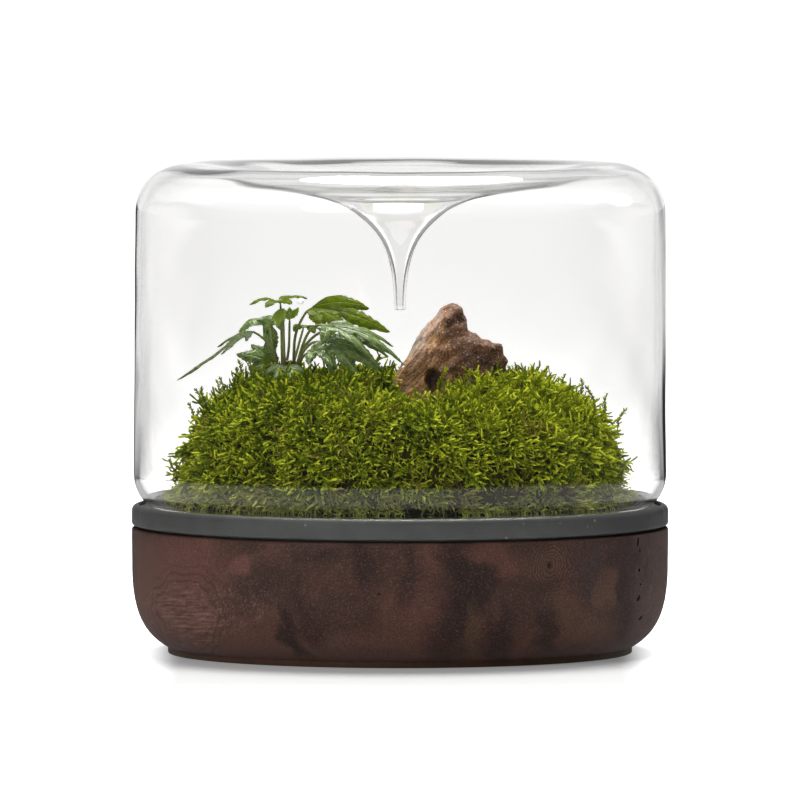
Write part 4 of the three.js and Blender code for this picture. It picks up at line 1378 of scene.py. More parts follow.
@dataclass
class SoilBed:
    """The soil that fills the liner and rises under the moss."""

    edge: float = 96.7
    floor: float = 14.3
    level: float = 60.3
    mound: float = 82.0
    rise: float = 29.5

    def build(self) -> None:
        """Turn the soil, roughen it and dress it."""
        turns = np.radians(np.linspace(0, 88, 18))
        mound = [(self.mound * math.sqrt(math.cos(t)), self.level + self.rise * math.sin(t)) for t in turns]
        shore = [(self.edge, z) for z in (self.floor, 30.0, 45.0, 55.0, self.level)]
        flat = [(r, self.level) for r in (95.0, 93.0, 91.0, 89.0, 87.0, 85.0, 83.5)]
        profile = [(0.0, self.floor), *shore, *flat, *mound, (0.0, self.level + self.rise)]
        piece = Bench.turn("soil", profile, 180)
        Bench.reshape(piece, self.crumbled)
        Bench.shade(piece, 50)
        Bench.settle(piece, SoilFinish().build(), Slot.SOIL, "soil_bed")

    def crumbled(self, points: np.ndarray) -> np.ndarray:
        """Make the soil's surface uneven, and leave its walls plain.

        Args:
            points: the soil's points.

        Returns:
            The moved points.
        """
        radius = np.hypot(points[:, 0], points[:, 1])
        free = (points[:, 2] > self.level - 1) & (radius < self.edge - 0.5)
        lumps = 0.7 * Swell(7, 4).at(points) + 0.45 * Swell(2.6, 5).at(points)
        points[:, 2] += np.where(free, lumps - 0.5, 0)
        return points


@dataclass
class GlassDome:
    """The blown dome: a rolled foot, an upright wall, a rounded corner and a dish that ends in a drip tube."""

    radius: float = 109.1
    upper: float = 108.45
    top: float = 200.3
    wall: float = 2.5
    corner: float = 20.0
    roll: float = 18.0
    roll_turn: float = 47.0
    foot: float = 59.8
    tip: float = 140.4
    drip: Pair = (2.3, 1.05)
    underside: tuple[Pair, ...] = (
        (88.45, 197.8), (79.0, 197.3), (70.0, 195.6), (60.0, 193.8), (50.0, 192.3), (42.0, 191.1), (36.0, 189.7),
        (30.0, 187.9), (25.0, 185.4), (20.0, 182.2), (16.0, 178.4), (12.0, 174.6), (8.6, 170.4), (6.1, 165.8),
        (4.4, 160.8), (3.4, 155.8), (2.8, 150.4), (2.5, 145.8), (2.3, 141.7),
    )
    steps: int = 320

    def faces_of_dish(self) -> tuple[Profile, Profile]:
        """The dish, funnel and tube as two lines.

        Returns:
            The upper face from the crest to the tip, and the underside in the same order.
        """
        under = flowing(self.underside, 5)
        ahead = unit(np.gradient(under, axis=0))
        share = np.linspace(0, 1, len(under))[:, None]
        wall = self.wall + (self.drip[0] - self.drip[1] - self.wall) * share
        upper = under + wall * np.column_stack([ahead[:, 1], -ahead[:, 0]])
        return [(float(r), float(z)) for r, z in upper], [(float(r), float(z)) for r, z in under]

    def profile(self) -> Profile:
        """The wall's closed outline.

        Returns:
            The points all round both its faces.
        """
        turn, middle = self.roll_turn, self.roll - self.wall / 2
        lift = 0.3 + middle * math.sin(math.radians(turn)) + self.wall / 2
        roll = (self.radius - self.roll, self.foot + lift)
        corner = (self.upper - self.corner, self.top - self.corner)
        outside = arc(roll, self.roll, -turn, 0, 12)
        inside = arc(roll, self.roll - self.wall, 0, -turn, 12)
        rise = [(self.radius + (self.upper - self.radius) * s, roll[1] + (corner[1] - roll[1]) * s)
                for s in np.linspace(0, 1, 20)[1:-1]]
        fall = [(r - self.wall, z) for r, z in reversed(rise)]
        lip_at = (roll[0] + middle * math.cos(math.radians(turn)), roll[1] - middle * math.sin(math.radians(turn)))
        lip = arc(lip_at, self.wall / 2, -turn - 180, -turn, 8)[1:-1]
        upper, under = self.faces_of_dish()
        end = arc((sum(self.drip) / 2, self.tip + 0.62), 0.62, 180, 360, 8)
        profile = outside + rise + arc(corner, self.corner, 0, 90, 24) + upper[1:] + end
        profile += under[::-1][1:] + arc(corner, self.corner - self.wall, 90, 0, 20)[1:] + fall + inside + lip
        return profile + [profile[0]]

    def blown(self, points: np.ndarray) -> np.ndarray:
        """Make the wall very slightly uneven, as blown glass is.

        Args:
            points: the dome's points.

        Returns:
            The moved points.
        """
        radius = np.hypot(points[:, 0], points[:, 1])
        out = points[:, :2] / np.maximum(radius, 1e-6)[:, None]
        free = smooth(8, 40, radius) * smooth(62, 76, points[:, 2])
        wave = 0.16 * Swell(60, 11).at(points) + 0.05 * Swell(24, 12).at(points)
        points[:, :2] += out * (np.minimum(wave, 0.3) * free)[:, None]
        dish = smooth(194, 199, points[:, 2]) * smooth(20, 60, radius)
        points[:, 2] += 0.12 * Swell(45, 13).at(points) * dish - 0.15 * dish
        return points

    def build(self) -> None:
        """Turn the dome, make it uneven and dress it."""
        piece = Bench.turn("blown_dome", self.profile(), self.steps)
        Bench.reshape(piece, self.blown)
        Bench.shade(piece, 60)
        finish = ClearFinish("clear glass", 1.47, (0.76, 0.745, 0.725), 60.0)
        Bench.settle(piece, finish.build(), Slot.GLASS, "glass_dome")


# ---- Stone ----


@dataclass
class Stone:
    """The stone, by its outline at each height: left edge, ridge, right edge, front and back."""

    levels: tuple[tuple[float, ...], ...] = (
        (88.0, 2.0, 18.0, 40.0, -13.0, 15.0),
        (96.0, -1.0, 17.0, 43.5, -18.0, 19.0),
        (104.0, -3.4, 16.0, 44.6, -20.0, 20.5),
        (110.5, -4.4, 15.5, 44.0, -19.0, 20.0),
        (116.0, -0.8, 15.0, 43.3, -17.0, 18.5),
        (121.0, 2.6, 15.5, 43.0, -15.4, 17.0),
        (125.4, 4.8, 16.0, 41.8, -13.6, 15.0),
        (127.6, 6.0, 17.0, 36.8, -12.4, 12.8),
        (128.8, 6.6, 17.2, 33.4, -12.0, 12.2),
        (131.5, 8.0, 18.0, 29.4, -10.6, 10.6),
        (135.4, 11.0, 19.4, 27.2, -8.6, 9.0),
        (139.2, 15.4, 20.6, 26.2, -6.2, 7.0),
        (142.0, 18.6, 21.6, 24.4, -3.4, 4.0),
        (143.4, 21.4, 21.8, 22.2, 0.6, 1.4),
    )
    poles: tuple[Pair, Pair] = ((20.0, 1.0), (21.8, 1.0))  # the middle of its underside, and its peak
    slant: float = 52.0  # degrees from level to the ribs
    cave: Pair = (14.2, 111.5)
    cave_size: Pair = (4.2, 6.0)
    cave_tilt: float = 0.25
    cave_depth: float = 7.5

    def outline(self, height: np.ndarray) -> np.ndarray:
        """The stone's edges at some heights, one row of five for each."""
        table = np.array(self.levels)
        return np.column_stack([np.interp(height, table[:, 0], table[:, i]) for i in range(1, 6)])

    def surface(self, turn: np.ndarray, height: np.ndarray) -> np.ndarray:
        """Points on the stone's plain surface.

        Args:
            turn: angles round the ridge.
            height: heights.

        Returns:
            The points, one a row.
        """
        left, ridge, right, front, back = self.outline(height).T
        middle = (front + back) / 2
        squareness = np.where(np.sin(turn) < 0, 0.86 + 0.5 * smooth(92, 116, height), 0.86)
        across = np.sign(np.cos(turn)) * np.abs(np.cos(turn)) ** squareness
        away = np.sign(np.sin(turn)) * np.abs(np.sin(turn)) ** squareness
        x = ridge + np.where(across > 0, right - ridge, ridge - left) * across
        y = middle + np.where(away > 0, back - middle, middle - front) * away
        return np.column_stack([x, y, height])

    def holds(self, points: np.ndarray, grow: float) -> np.ndarray:
        """Find the points that lie inside the stone.

        Args:
            points: the points.
            grow: how much larger the stone is taken to be, in millimetres.

        Returns:
            True for each that does.
        """
        left, ridge, right, front, back = self.outline(np.clip(points[:, 2], 88, 143)).T
        middle = (front + back) / 2
        across = points[:, 0] - ridge
        away = points[:, 1] - middle
        across /= np.where(across > 0, right - ridge, ridge - left) + grow
        away /= np.where(away > 0, back - middle, middle - front) + grow
        power = np.where(away < 0, 1.6, 2.2)
        inside = np.abs(across) ** power + np.abs(away) ** power < 1
        return inside & (points[:, 2] < 143 + grow)

    def hewn(self, points: np.ndarray) -> np.ndarray:
        """Move a round ball's points to the stone's plain surface.

        Args:
            points: the ball's points.

        Returns:
            The moved points.
        """
        ball = unit(points)
        turn = np.arctan2(ball[:, 1], ball[:, 0])
        share = (np.arcsin(np.clip(ball[:, 2], -1, 1)) / math.pi) + 0.5
        heights = 88 + 55.4 * share ** 0.92
        placed = self.surface(turn, heights)
        placed[ball[:, 2] < -0.9999, :2], placed[ball[:, 2] > 0.9999, :2] = self.poles
        return placed

    def weathered(self, points: np.ndarray, normals: np.ndarray) -> np.ndarray:
        """Give the surface low lumps, slanting ribs on its left face and a knobbly right face.

        Args:
            points: the surface's points.
            normals: its normals there.

        Returns:
            The moved points.
        """
        slant = math.radians(self.slant)
        along = points[:, 0] * math.cos(slant) + points[:, 2] * math.sin(slant)
        beside = points[:, 2] * math.cos(slant) - points[:, 0] * math.sin(slant)
        beds = np.column_stack([along / 4.5, points[:, 1] / 2, beside])
        left = smooth(20, 8, points[:, 0])
        ribs = 0.6 * (0.6 - np.abs(Swell(5.5, 32).at(beds))) * (0.15 + 0.85 * left)
        knobs = 0.4 * Swell(6.5, 35).at(points) * (1 - 0.7 * left)
        lumps = 0.35 * Swell(19, 31).at(points)
        free = smooth(0.0, 3.0, 143.4 - points[:, 2])
        return points + normals * ((ribs + knobs + lumps) * free)[:, None]

    def hollowed(self, points: np.ndarray) -> np.ndarray:
        """Press the small cave into the front.

        Args:
            points: the surface's points.

        Returns:
            The moved points.
        """
        upward = points[:, 2] - self.cave[1]
        across = points[:, 0] - self.cave[0] + self.cave_tilt * upward
        far = np.sqrt((across / self.cave_size[0]) ** 2 + (upward / self.cave_size[1]) ** 2)
        points[:, 1] += np.where(points[:, 1] < 0, self.cave_depth * smooth(1.1, 0.35, far), 0)
        return points

    def build(self) -> None:
        """Shape the stone from a ball and dress it."""
        Bench.clear()
        bpy.ops.mesh.primitive_uv_sphere_add(segments=56, ring_count=40, radius=MM)
        piece = Bench.named("peaked_stone")
        Bench.refine(piece, 2, simple=True)
        Bench.reshape(piece, self.hewn)
        normals = Bench.normals(piece)
        Bench.reshape(piece, lambda points: self.weathered(points, normals))
        Bench.reshape(piece, self.hollowed)
        Bench.roughen(piece, 3.2, 0.8)
        Bench.roughen(piece, 1.1, 0.5, 3)
        Bench.shade(piece, 40)
        Bench.settle(piece, StoneFinish().build(), Slot.STONE, "stone")


# ---- Plant ----


@dataclass(frozen=True)
class Lobe:
    """One lobe of a leaf: its tip, half its width, and how high it arches."""

    tip: Triple
    half: float
    arch: float


@dataclass(frozen=True)
class Leaf:
    """A leaf: its finish, where its stalk stands and how it goes, and its blade's base, facing and lobes."""

    name: str
    slot: Slot
    stand: float
    way: tuple[Triple, ...]
    base: Triple
    up: Triple
    lobes: tuple[Lobe, ...]

    node: str = ""
    jagged: float = 0.36
    sinus: float = 0.42  # where along the lobes the cleft between them ends
    shoulder: float = 0.24  # where along it an outer lobe is as wide as it gets

    def facing(self) -> np.ndarray:
        """The direction that the blade faces."""
        return unit(np.array(self.up, float))

    def midrib(self, lobe: Lobe, along: np.ndarray) -> np.ndarray:
        """Points on a lobe's midrib.

        Args:
            lobe: the lobe.
            along: shares of the way from the blade's base to the lobe's tip.

        Returns:
            The points, one a row.
        """
        base, tip = np.array(self.base), np.array(lobe.tip)
        bend = (base + tip) / 2 + self.facing() * 2 * lobe.arch
        t = np.asarray(along)[:, None]
        return (1 - t) ** 2 * base + 2 * t * (1 - t) * bend + t**2 * tip

    def sideways(self, lobe: Lobe, along: np.ndarray) -> np.ndarray:
        """The direction across the lobe, to the left of its midrib, at each share of the way."""
        ahead = self.midrib(lobe, along + 0.01) - self.midrib(lobe, along - 0.01)
        return unit(np.cross(self.facing(), ahead))

    def edge(self, index: int, along: np.ndarray, sign: int) -> np.ndarray:
        """Points on one edge of a lobe, with its teeth.

        Args:
            index: the lobe's number.
            along: shares of the way to its tip.
            sign: 1 for the left edge, -1 for the right.

        Returns:
            The points, one a row.
        """
        lobe = self.lobes[index]
        middle = self.midrib(lobe, along)
        side = self.sideways(lobe, along) * sign
        other = index + sign
        if 0 <= other < len(self.lobes):
            cleft = np.minimum(along, self.sinus)
            palm = (self.midrib(lobe, cleft) + self.midrib(self.lobes[other], cleft)) / 2
            palm = palm + middle - self.midrib(lobe, cleft)
        else:
            swell = 0.85 * np.clip(along / self.shoulder, 0, 1) ** 0.7
            palm = middle + side * (swell * lobe.half)[:, None]
        free = np.clip((along - self.sinus) / (1 - self.sinus), 0, 1)
        taper = np.clip(1 - np.clip((free - 0.2) / 0.8, 0, 1) ** 1.5, 0, 1) ** 0.85
        notch = ((free * 5.2 + 0.23 * index + 0.3 * sign) % 1) * smooth(0.06, 0.25, free) * smooth(1.0, 0.85, free)
        teeth = 1.06 - self.jagged * notch
        blade = middle + side * (lobe.half * taper * teeth)[:, None]
        share = smooth(0.0, 0.2, free)[:, None]
        return palm * (1 - share) + blade * share

    def spread(self, points: np.ndarray, index: int) -> np.ndarray:
        """A flat grid's points laid on one lobe.

        Args:
            points: the grid, from -1 to 1 both across and along.
            index: the lobe's number.

        Returns:
            The points on the lobe.
        """
        across = points[:, 0]
        along = (points[:, 1] + 1) / 2
        lobe = self.lobes[index]
        middle = self.midrib(lobe, along)
        edge = np.where((across > 0)[:, None], self.edge(index, along, 1), self.edge(index, along, -1))
        share = np.abs(across)[:, None]
        free = smooth(self.sinus, self.sinus + 0.15, along)
        sag = -0.24 * lobe.half * across**2 * free
        quilt = 0.16 * np.cos(2 * math.pi * (along * 9 - np.abs(across) * 2)) * np.minimum(share[:, 0] * 3, 1)
        quilt *= 1 - share[:, 0] ** 4
        crease = -0.28 * np.exp(-((across / 0.12) ** 2))
        ripple = 0.22 * np.sin(along * 21 + index) * share[:, 0] ** 2 * free
        lift = (sag + quilt + crease + ripple) * smooth(0.0, 0.1, along) * smooth(1.0, 0.93, along)
        return middle * (1 - share) + edge * share + self.facing() * lift[:, None]

    def blade(self) -> Piece:
        """Make the blade.

        Returns:
            A thin closed piece.
        """
        grids = []
        for index in range(len(self.lobes)):
            Bench.clear()
            bpy.ops.mesh.primitive_grid_add(x_subdivisions=8, y_subdivisions=38, size=2 * MM)
            grid = bpy.context.object
            Bench.reshape(grid, lambda points: self.spread(points, index))
            grids.append(grid)
        piece = Bench.join("blade_" + self.name, grids)
        bpy.ops.object.mode_set(mode="EDIT")
        bpy.ops.mesh.select_all(action="SELECT")
        bpy.ops.mesh.remove_doubles(threshold=0.03 * MM)
        bpy.ops.mesh.normals_make_consistent(inside=False)
        bpy.ops.object.mode_set(mode="OBJECT")
        Bench.modify(piece, "SOLIDIFY", thickness=0.32 * MM, offset=0.0, use_rim=True)
        Bench.refine(piece, 1)
        Bench.shade(piece, 80)
        return piece

    def stalk(self, crown: Triple, ring: float) -> Piece:
        """Make the stalk.

        Args:
            crown: the foot of the crown.
            ring: how far from it the stalks stand.

        Returns:
            A tube from beside the crown to the blade.
        """
        turn = math.radians(self.stand)
        foot = np.array([crown[0] + ring * math.cos(turn), crown[1] + ring * math.sin(turn), 103.3])
        bend = foot + [0, 0, 9.7]
        end = np.array(self.base) + self.facing() * 0.1
        line = flowing([foot, bend, *self.way, end], 10)
        share = np.linspace(0, 1, len(line))
        size = 0.76 - 0.3 * share + 0.45 * smooth(0.2, 0.0, share)
        size[-1] = 0.3
        piece = Bench.tube("stalk_" + self.name, [line], [size], 12)
        Bench.shade(piece, 60)
        return piece


def leaf(name: str, slot: Slot, stand: float, way: Sequence[Triple], base: Triple, up: Triple, *lobes: tuple,
         node: str = "", jagged: float = 0.36) -> Leaf:
    """A leaf from plain numbers, in the order of Leaf's fields, with each lobe as (tip, half, arch)."""
    return Leaf(name, slot, stand, tuple(way), base, up, tuple(Lobe(*lobe) for lobe in lobes), node, jagged)


LEAVES = (
    leaf("top", Slot.LEAF, 243, [(-48.4, -8, 130)], (-48.9, -5, 143.2), (-0.05, -0.1, 1),
         ((-61.9, -9, 142.8), 2.7, 2.6), ((-55, -18, 142.2), 2.9, 2), ((-44.5, -18, 143.6), 2.8, 1.6),
         ((-37.7, -5, 145.4), 2.6, 2.2), ((-44, 8, 145.2), 2.5, 2)),
    leaf("back_left", Slot.DEEP_LEAF, 145, [(-52, 1, 124)], (-54.1, 7, 136), (-0.1, -0.35, 0.93),
         ((-60, 19, 134.5), 4, 1.5), ((-66.5, 5, 131.4), 4.2, 2.6), ((-51.6, 2.4, 122.4), 3.4, 1.2),
         ((-47.4, 9, 129.6), 3.4, 3)),
    leaf("long", Slot.LEAF, 210, [(-52.2, -8.6, 124.8), (-57, -9, 130)], (-60.3, -9, 132), (-0.5, -0.12, 0.86),
         ((-75, 2, 125.2), 2.9, 1.5), ((-91.2, -12, 112), 3.3, 0.6), ((-73, -20, 123.2), 2.9, 1.2),
         ((-62.8, -18, 128.6), 2.2, 0.6), jagged=0.62),
    leaf("low_left", Slot.DEEP_LEAF, 178, [], (-51.6, -5, 119), (0.1, -0.8, 0.6),
         ((-55, -3, 127.5), 3, 0.5), ((-61, -1.5, 126.4), 3.3, 0.8), ((-67, -5, 122.6), 3.9, 1.4),
         ((-62, -8, 116.4), 3.3, 1)),
    leaf("front", Slot.DEEP_LEAF, 275, [], (-46.6, -12.6, 118), (0, -0.35, 0.94),
         ((-56.2, -17, 114.8), 2.7, 1.4), ((-51.2, -24, 113.6), 2.9, 1.4), ((-44.2, -24.5, 113.4), 2.9, 1.4),
         ((-38.2, -17, 115.2), 2.5, 1.2)),
    leaf("large", Slot.LEAF, 30, [(-42.9, -2, 129), (-39.2, 1, 138)], (-35.9, 1, 141.2), (0.1, -0.8, 0.59),
         ((-31.2, -9, 134), 4.2, 1.5), ((-22.6, -9, 134.4), 4.6, 2), ((-3.9, -7, 131.6), 4.3, 3.6),
         ((-12.6, 1, 140.8), 4.2, 4.4)),
    leaf("drooping", Slot.DEEP_LEAF, 345, [(-39.4, -9, 127), (-35.2, -12, 133.8)], (-29.6, -13.6, 134.8),
         (0.25, -0.45, 0.86),
         ((-31.5, -24, 127.5), 2.9, 2), ((-12, -25, 121.8), 3.3, 3), ((1.2, -20.5, 119.4), 3, 4.4),
         ((-2.6, -13.5, 126), 2.4, 3.4), ((-12.4, -6.5, 127.2), 2.9, 4)),
    leaf("low_right", Slot.DEEP_LEAF, 305, [(-40, -13, 121.4)], (-35.4, -16.5, 125), (0.1, -0.4, 0.91),
         ((-37.5, -26.5, 119.6), 2.4, 1.2), ((-27.5, -28.5, 118.6), 2.8, 2), ((-20.2, -21, 121.6), 2.8, 2.4),
         ((-25, -12, 124.4), 2.2, 2)),
    leaf("back_right", Slot.DEEP_LEAF, 68, [(-42.6, 3.5, 122)], (-39.5, 9.4, 132.4), (0.1, 0.1, 1),
         ((-30.4, 12, 130), 2.7, 2), ((-35, 21, 129.6), 2.8, 2), ((-43.6, 20, 130.4), 2.6, 2)),
    leaf("young", Slot.YOUNG_LEAF, 108, [(-45.6, -1.6, 124)], (-45.2, 1, 136.6), (0.1, -0.9, 0.4),
         ((-41.4, 0.6, 141.2), 1.7, 0.4), ((-45.2, 2.4, 141.4), 1.6, 0.3), ((-48.8, 0.6, 140.8), 1.7, 0.4)),
    leaf("young_hanging", Slot.YOUNG_LEAF, 262, [(-47.4, -9.4, 126)], (-47.8, -10, 141.4), (-0.2, -0.95, 0.25),
         ((-52.6, -11, 136.2), 1.5, 0.4), ((-50.4, -13, 133.6), 1.7, 0.6), ((-47.2, -12.4, 136.4), 1.2, 0.3),
         node="young", jagged=0.2),
    leaf("drooping_low", Slot.DEEP_LEAF, 330, [(-40.6, -11, 122), (-36, -14, 127.4)], (-31, -15.4, 128.2),
         (0.1, -0.72, 0.69),
         ((-37.5, -22, 120.4), 2.6, 1.6), ((-27.5, -26, 115.8), 3.1, 2.2), ((-16.4, -27, 113.8), 3.3, 2.6),
         ((-8.4, -24, 116.4), 2.8, 2.8), ((-14, -17, 123.6), 2.6, 2.4), node="drooping"),
    leaf("drooping_back", Slot.DEEP_LEAF, 10, [(-40, -5, 124), (-33, -4, 131)], (-26, -5, 130.6),
         (0.2, -0.55, 0.81),
         ((-30, -12, 121.6), 2.8, 1.6), ((-18.5, -15, 117.6), 3.2, 2.4), ((-7.2, -13, 115.6), 3.1, 2.8),
         ((-4.6, -6, 121.4), 2.6, 3.0), ((-13, 1, 127), 2.6, 2.6), node="drooping"),
)


def surfaces(pieces: Sequence[Piece]) -> list[BVHTree]:
    """The pieces' surfaces, for lines to meet."""
    return [BVHTree.FromObject(piece, bpy.context.evaluated_depsgraph_get()) for piece in pieces]


@dataclass
class Plant:
    """The plant: its crown, its leaves on their stalks, and the water that lies on them."""

    crown: Triple = (-46.5, -6.0, 80.3)
    crown_top: float = 120.2
    stalk_ring: float = 3.5
    beads: int = 260
    seen: tuple[Triple, ...] = (  # the larger drops: across, up and size
        (-27.5, 141.6, 1.1), (-22.8, 138.8, 2.2), (-27.0, 135.6, 1.2), (-17.5, 141.0, 0.9), (-13.5, 138.4, 1.0),
        (-30.6, 143.8, 0.8), (-66.5, 129.2, 1.0), (-70.5, 126.6, 0.8), (-78.0, 121.0, 0.9), (-60.4, 122.4, 0.9),
        (-46.0, 115.6, 1.1), (-20.0, 126.0, 1.0), (-12.0, 127.0, 0.8),
    )
    hanging: tuple[tuple[Triple, float], ...] = (
        ((-40.6, -7.5, 144.4), 1.35), ((-45.6, -1.5, 137.6), 1.3), ((1.0, -20.6, 118.6), 0.9),
    )
    blades: list[Piece] = field(default_factory=list)

    def finishes(self) -> dict[Slot, bpy.types.Material]:
        """Make the leaves' finishes.

        Returns:
            The material for each slot.
        """
        return {
            Slot.LEAF: LeafFinish("green leaf", (0.21, 0.28, 0.008), (0.08, 0.14, 0.005), (0.28, 0.36, 0.03),
                                  (0.42, 0.5, 0.006), 0.46, 0.24, 0.07).build(),
            # The deep green leaf's veins are very pale: partly their own colour and partly painted sheen streaks.
            Slot.DEEP_LEAF: LeafFinish("deep green leaf", (0.21, 0.31, 0.04), (0.045, 0.105, 0.012),
                                       (0.5, 0.58, 0.34), (0.32, 0.44, 0.05), 0.28, 0.13, 0.18).build(),
            Slot.YOUNG_LEAF: LeafFinish("young leaf", (0.42, 0.55, 0.08), (0.3, 0.44, 0.06), (0.5, 0.6, 0.18),
                                        (0.6, 0.7, 0.12), 0.45).build(),
        }

    def build(self) -> None:
        """Make the crown, the leaves and the drops."""
        finishes = self.finishes()
        # A greyer, duller green for the long leaf.
        greyish = LeafFinish("dusty leaf", (0.16, 0.22, 0.06), (0.05, 0.085, 0.022), (0.36, 0.42, 0.22),
                           (0.3, 0.36, 0.08), 0.3, 0.16, 0.3).build()
        stem = StemFinish("leaf stalk", (0.2, 0.24, 0.06), (0.15, 0.08, 0.035), 114, 127).build()
        for one in LEAVES:
            node = "leaf_" + (one.node or one.name)
            blade = Bench.settle(one.blade(), greyish if one.name == "long" else finishes[one.slot], one.slot, node)
            Bench.settle(one.stalk(self.crown, self.stalk_ring), stem, Slot.STEM, node)
            self.blades.append(blade)
        self.sheath()
        self.water()

    def sheath(self) -> None:
        """The brown crown with the bases of old stalks round it."""
        middle = np.array([self.crown[0], self.crown[1], 0])
        tall = self.crown_top - self.crown[2]
        heights = np.array([0.0, 3.0, 16.0, tall - 8, tall - 3, tall - 0.8, tall])
        line = middle + np.column_stack([heights * 0, heights * 0, self.crown[2] + heights])
        lines = [flowing(line, 3)]
        sizes = [np.interp(np.linspace(0, 1, len(lines[0])), [0, 0.1, 0.4, 0.9, 0.97, 1], [0.6, 1.2, 2, 2, 1.3, 0.2])]
        random = np.random.default_rng(5)
        for i in range(7):
            turn = i * 0.9 + random.uniform(-0.2, 0.2)
            out = np.array([math.cos(turn), math.sin(turn), 0])
            foot = middle + out * 1.5 + UP * 108
            scale = flowing([foot, foot + out * 1.1 + UP * 6, foot + out * (1.6 + random.uniform(0, 1)) + UP * 12], 4)
            lines.append(scale)
            sizes.append(np.interp(np.linspace(0, 1, len(scale)), [0, 0.5, 1], [1.1, 0.9, 0.15]))
        piece = Bench.tube("crown", lines, sizes, 10)
        Bench.shade(piece, 60)
        finish = StemFinish("brown sheath", (0.11, 0.085, 0.03), (0.06, 0.035, 0.015), 108, 122)
        Bench.settle(piece, finish.build(), Slot.STEM, "plant_crown")

    def water(self) -> None:
        """Lens-shaped drops and fine beads on the blades, and drops that hang from tips."""
        random = np.random.default_rng(77)
        Bench.clear()
        bpy.ops.mesh.primitive_uv_sphere_add(segments=12, ring_count=7, radius=MM)
        pattern = bpy.context.object
        shape, faces = Bench.points(pattern), [tuple(p.vertices) for p in pattern.data.polygons]
        bpy.data.objects.remove(pattern)
        drops = self.lenses()
        for blade in self.blades:
            points, normals = Bench.points(blade), Bench.normals(blade)
            upper = np.flatnonzero(normals[:, 2] > 0.15)
            for pick in random.choice(upper, min(self.beads // len(self.blades), len(upper)), replace=False):
                drops.append((points[pick], normals[pick], random.uniform(0.22, 0.6) ** 1.2))
        vertices = []
        for middle, normal, size in drops:
            side = unit(np.cross(normal, [0.3, 1, 0.2]))
            axes = np.stack([side, np.cross(normal, side), normal * 0.62])
            vertices.append(middle + shape @ axes * size)
        for tip, size in self.hanging:
            hang = shape * size
            hang[:, 2] = np.where(hang[:, 2] > 0, hang[:, 2] * 1.35, hang[:, 2])
            vertices.append(hang + tip)
        polygons = [tuple(v + i * len(shape) for v in face) for i in range(len(vertices)) for face in faces]
        mesh = bpy.data.meshes.new("water_drops")
        mesh.from_pydata(np.vstack(vertices) * MM, [], polygons)
        piece = Bench.place("water_drops", mesh)
        Bench.shade(piece, 80)
        Bench.settle(piece, ClearFinish("water", 1.33, (1.0, 1.0, 1.0), 0.0).build(), Slot.GLASS)

    def lenses(self) -> list[tuple[np.ndarray, np.ndarray, float]]:
        """Find where the larger drops lie on the leaves, by what a line from the front meets first.

        Returns:
            Each drop's middle, the surface's normal there and the drop's size.
        """
        found = []
        ahead, fall = 0.2, 0.0517  # metres in front where the lines start, and how they fall, as the camera looks
        trees = surfaces(self.blades)
        for across, height, size in self.seen:
            start = Vector((across * MM, -ahead, height * MM + fall * ahead))
            hits = [tree.ray_cast(start, Vector((0, 1, -fall)).normalized()) for tree in trees]
            hits = [hit for hit in hits if hit[0]]
            if hits:
                place, normal, _, _ = min(hits, key=lambda hit: hit[3])
                found.append((np.array(place) / MM, np.array(normal), size))
        return found


# ---- Moss ----


@dataclass(frozen=True)
class Shoot:
    """The pattern of one shoot: its points, its faces, and how near each point is to a tip."""

    points: np.ndarray
    corners: np.ndarray
    sizes: np.ndarray
    tips: np.ndarray


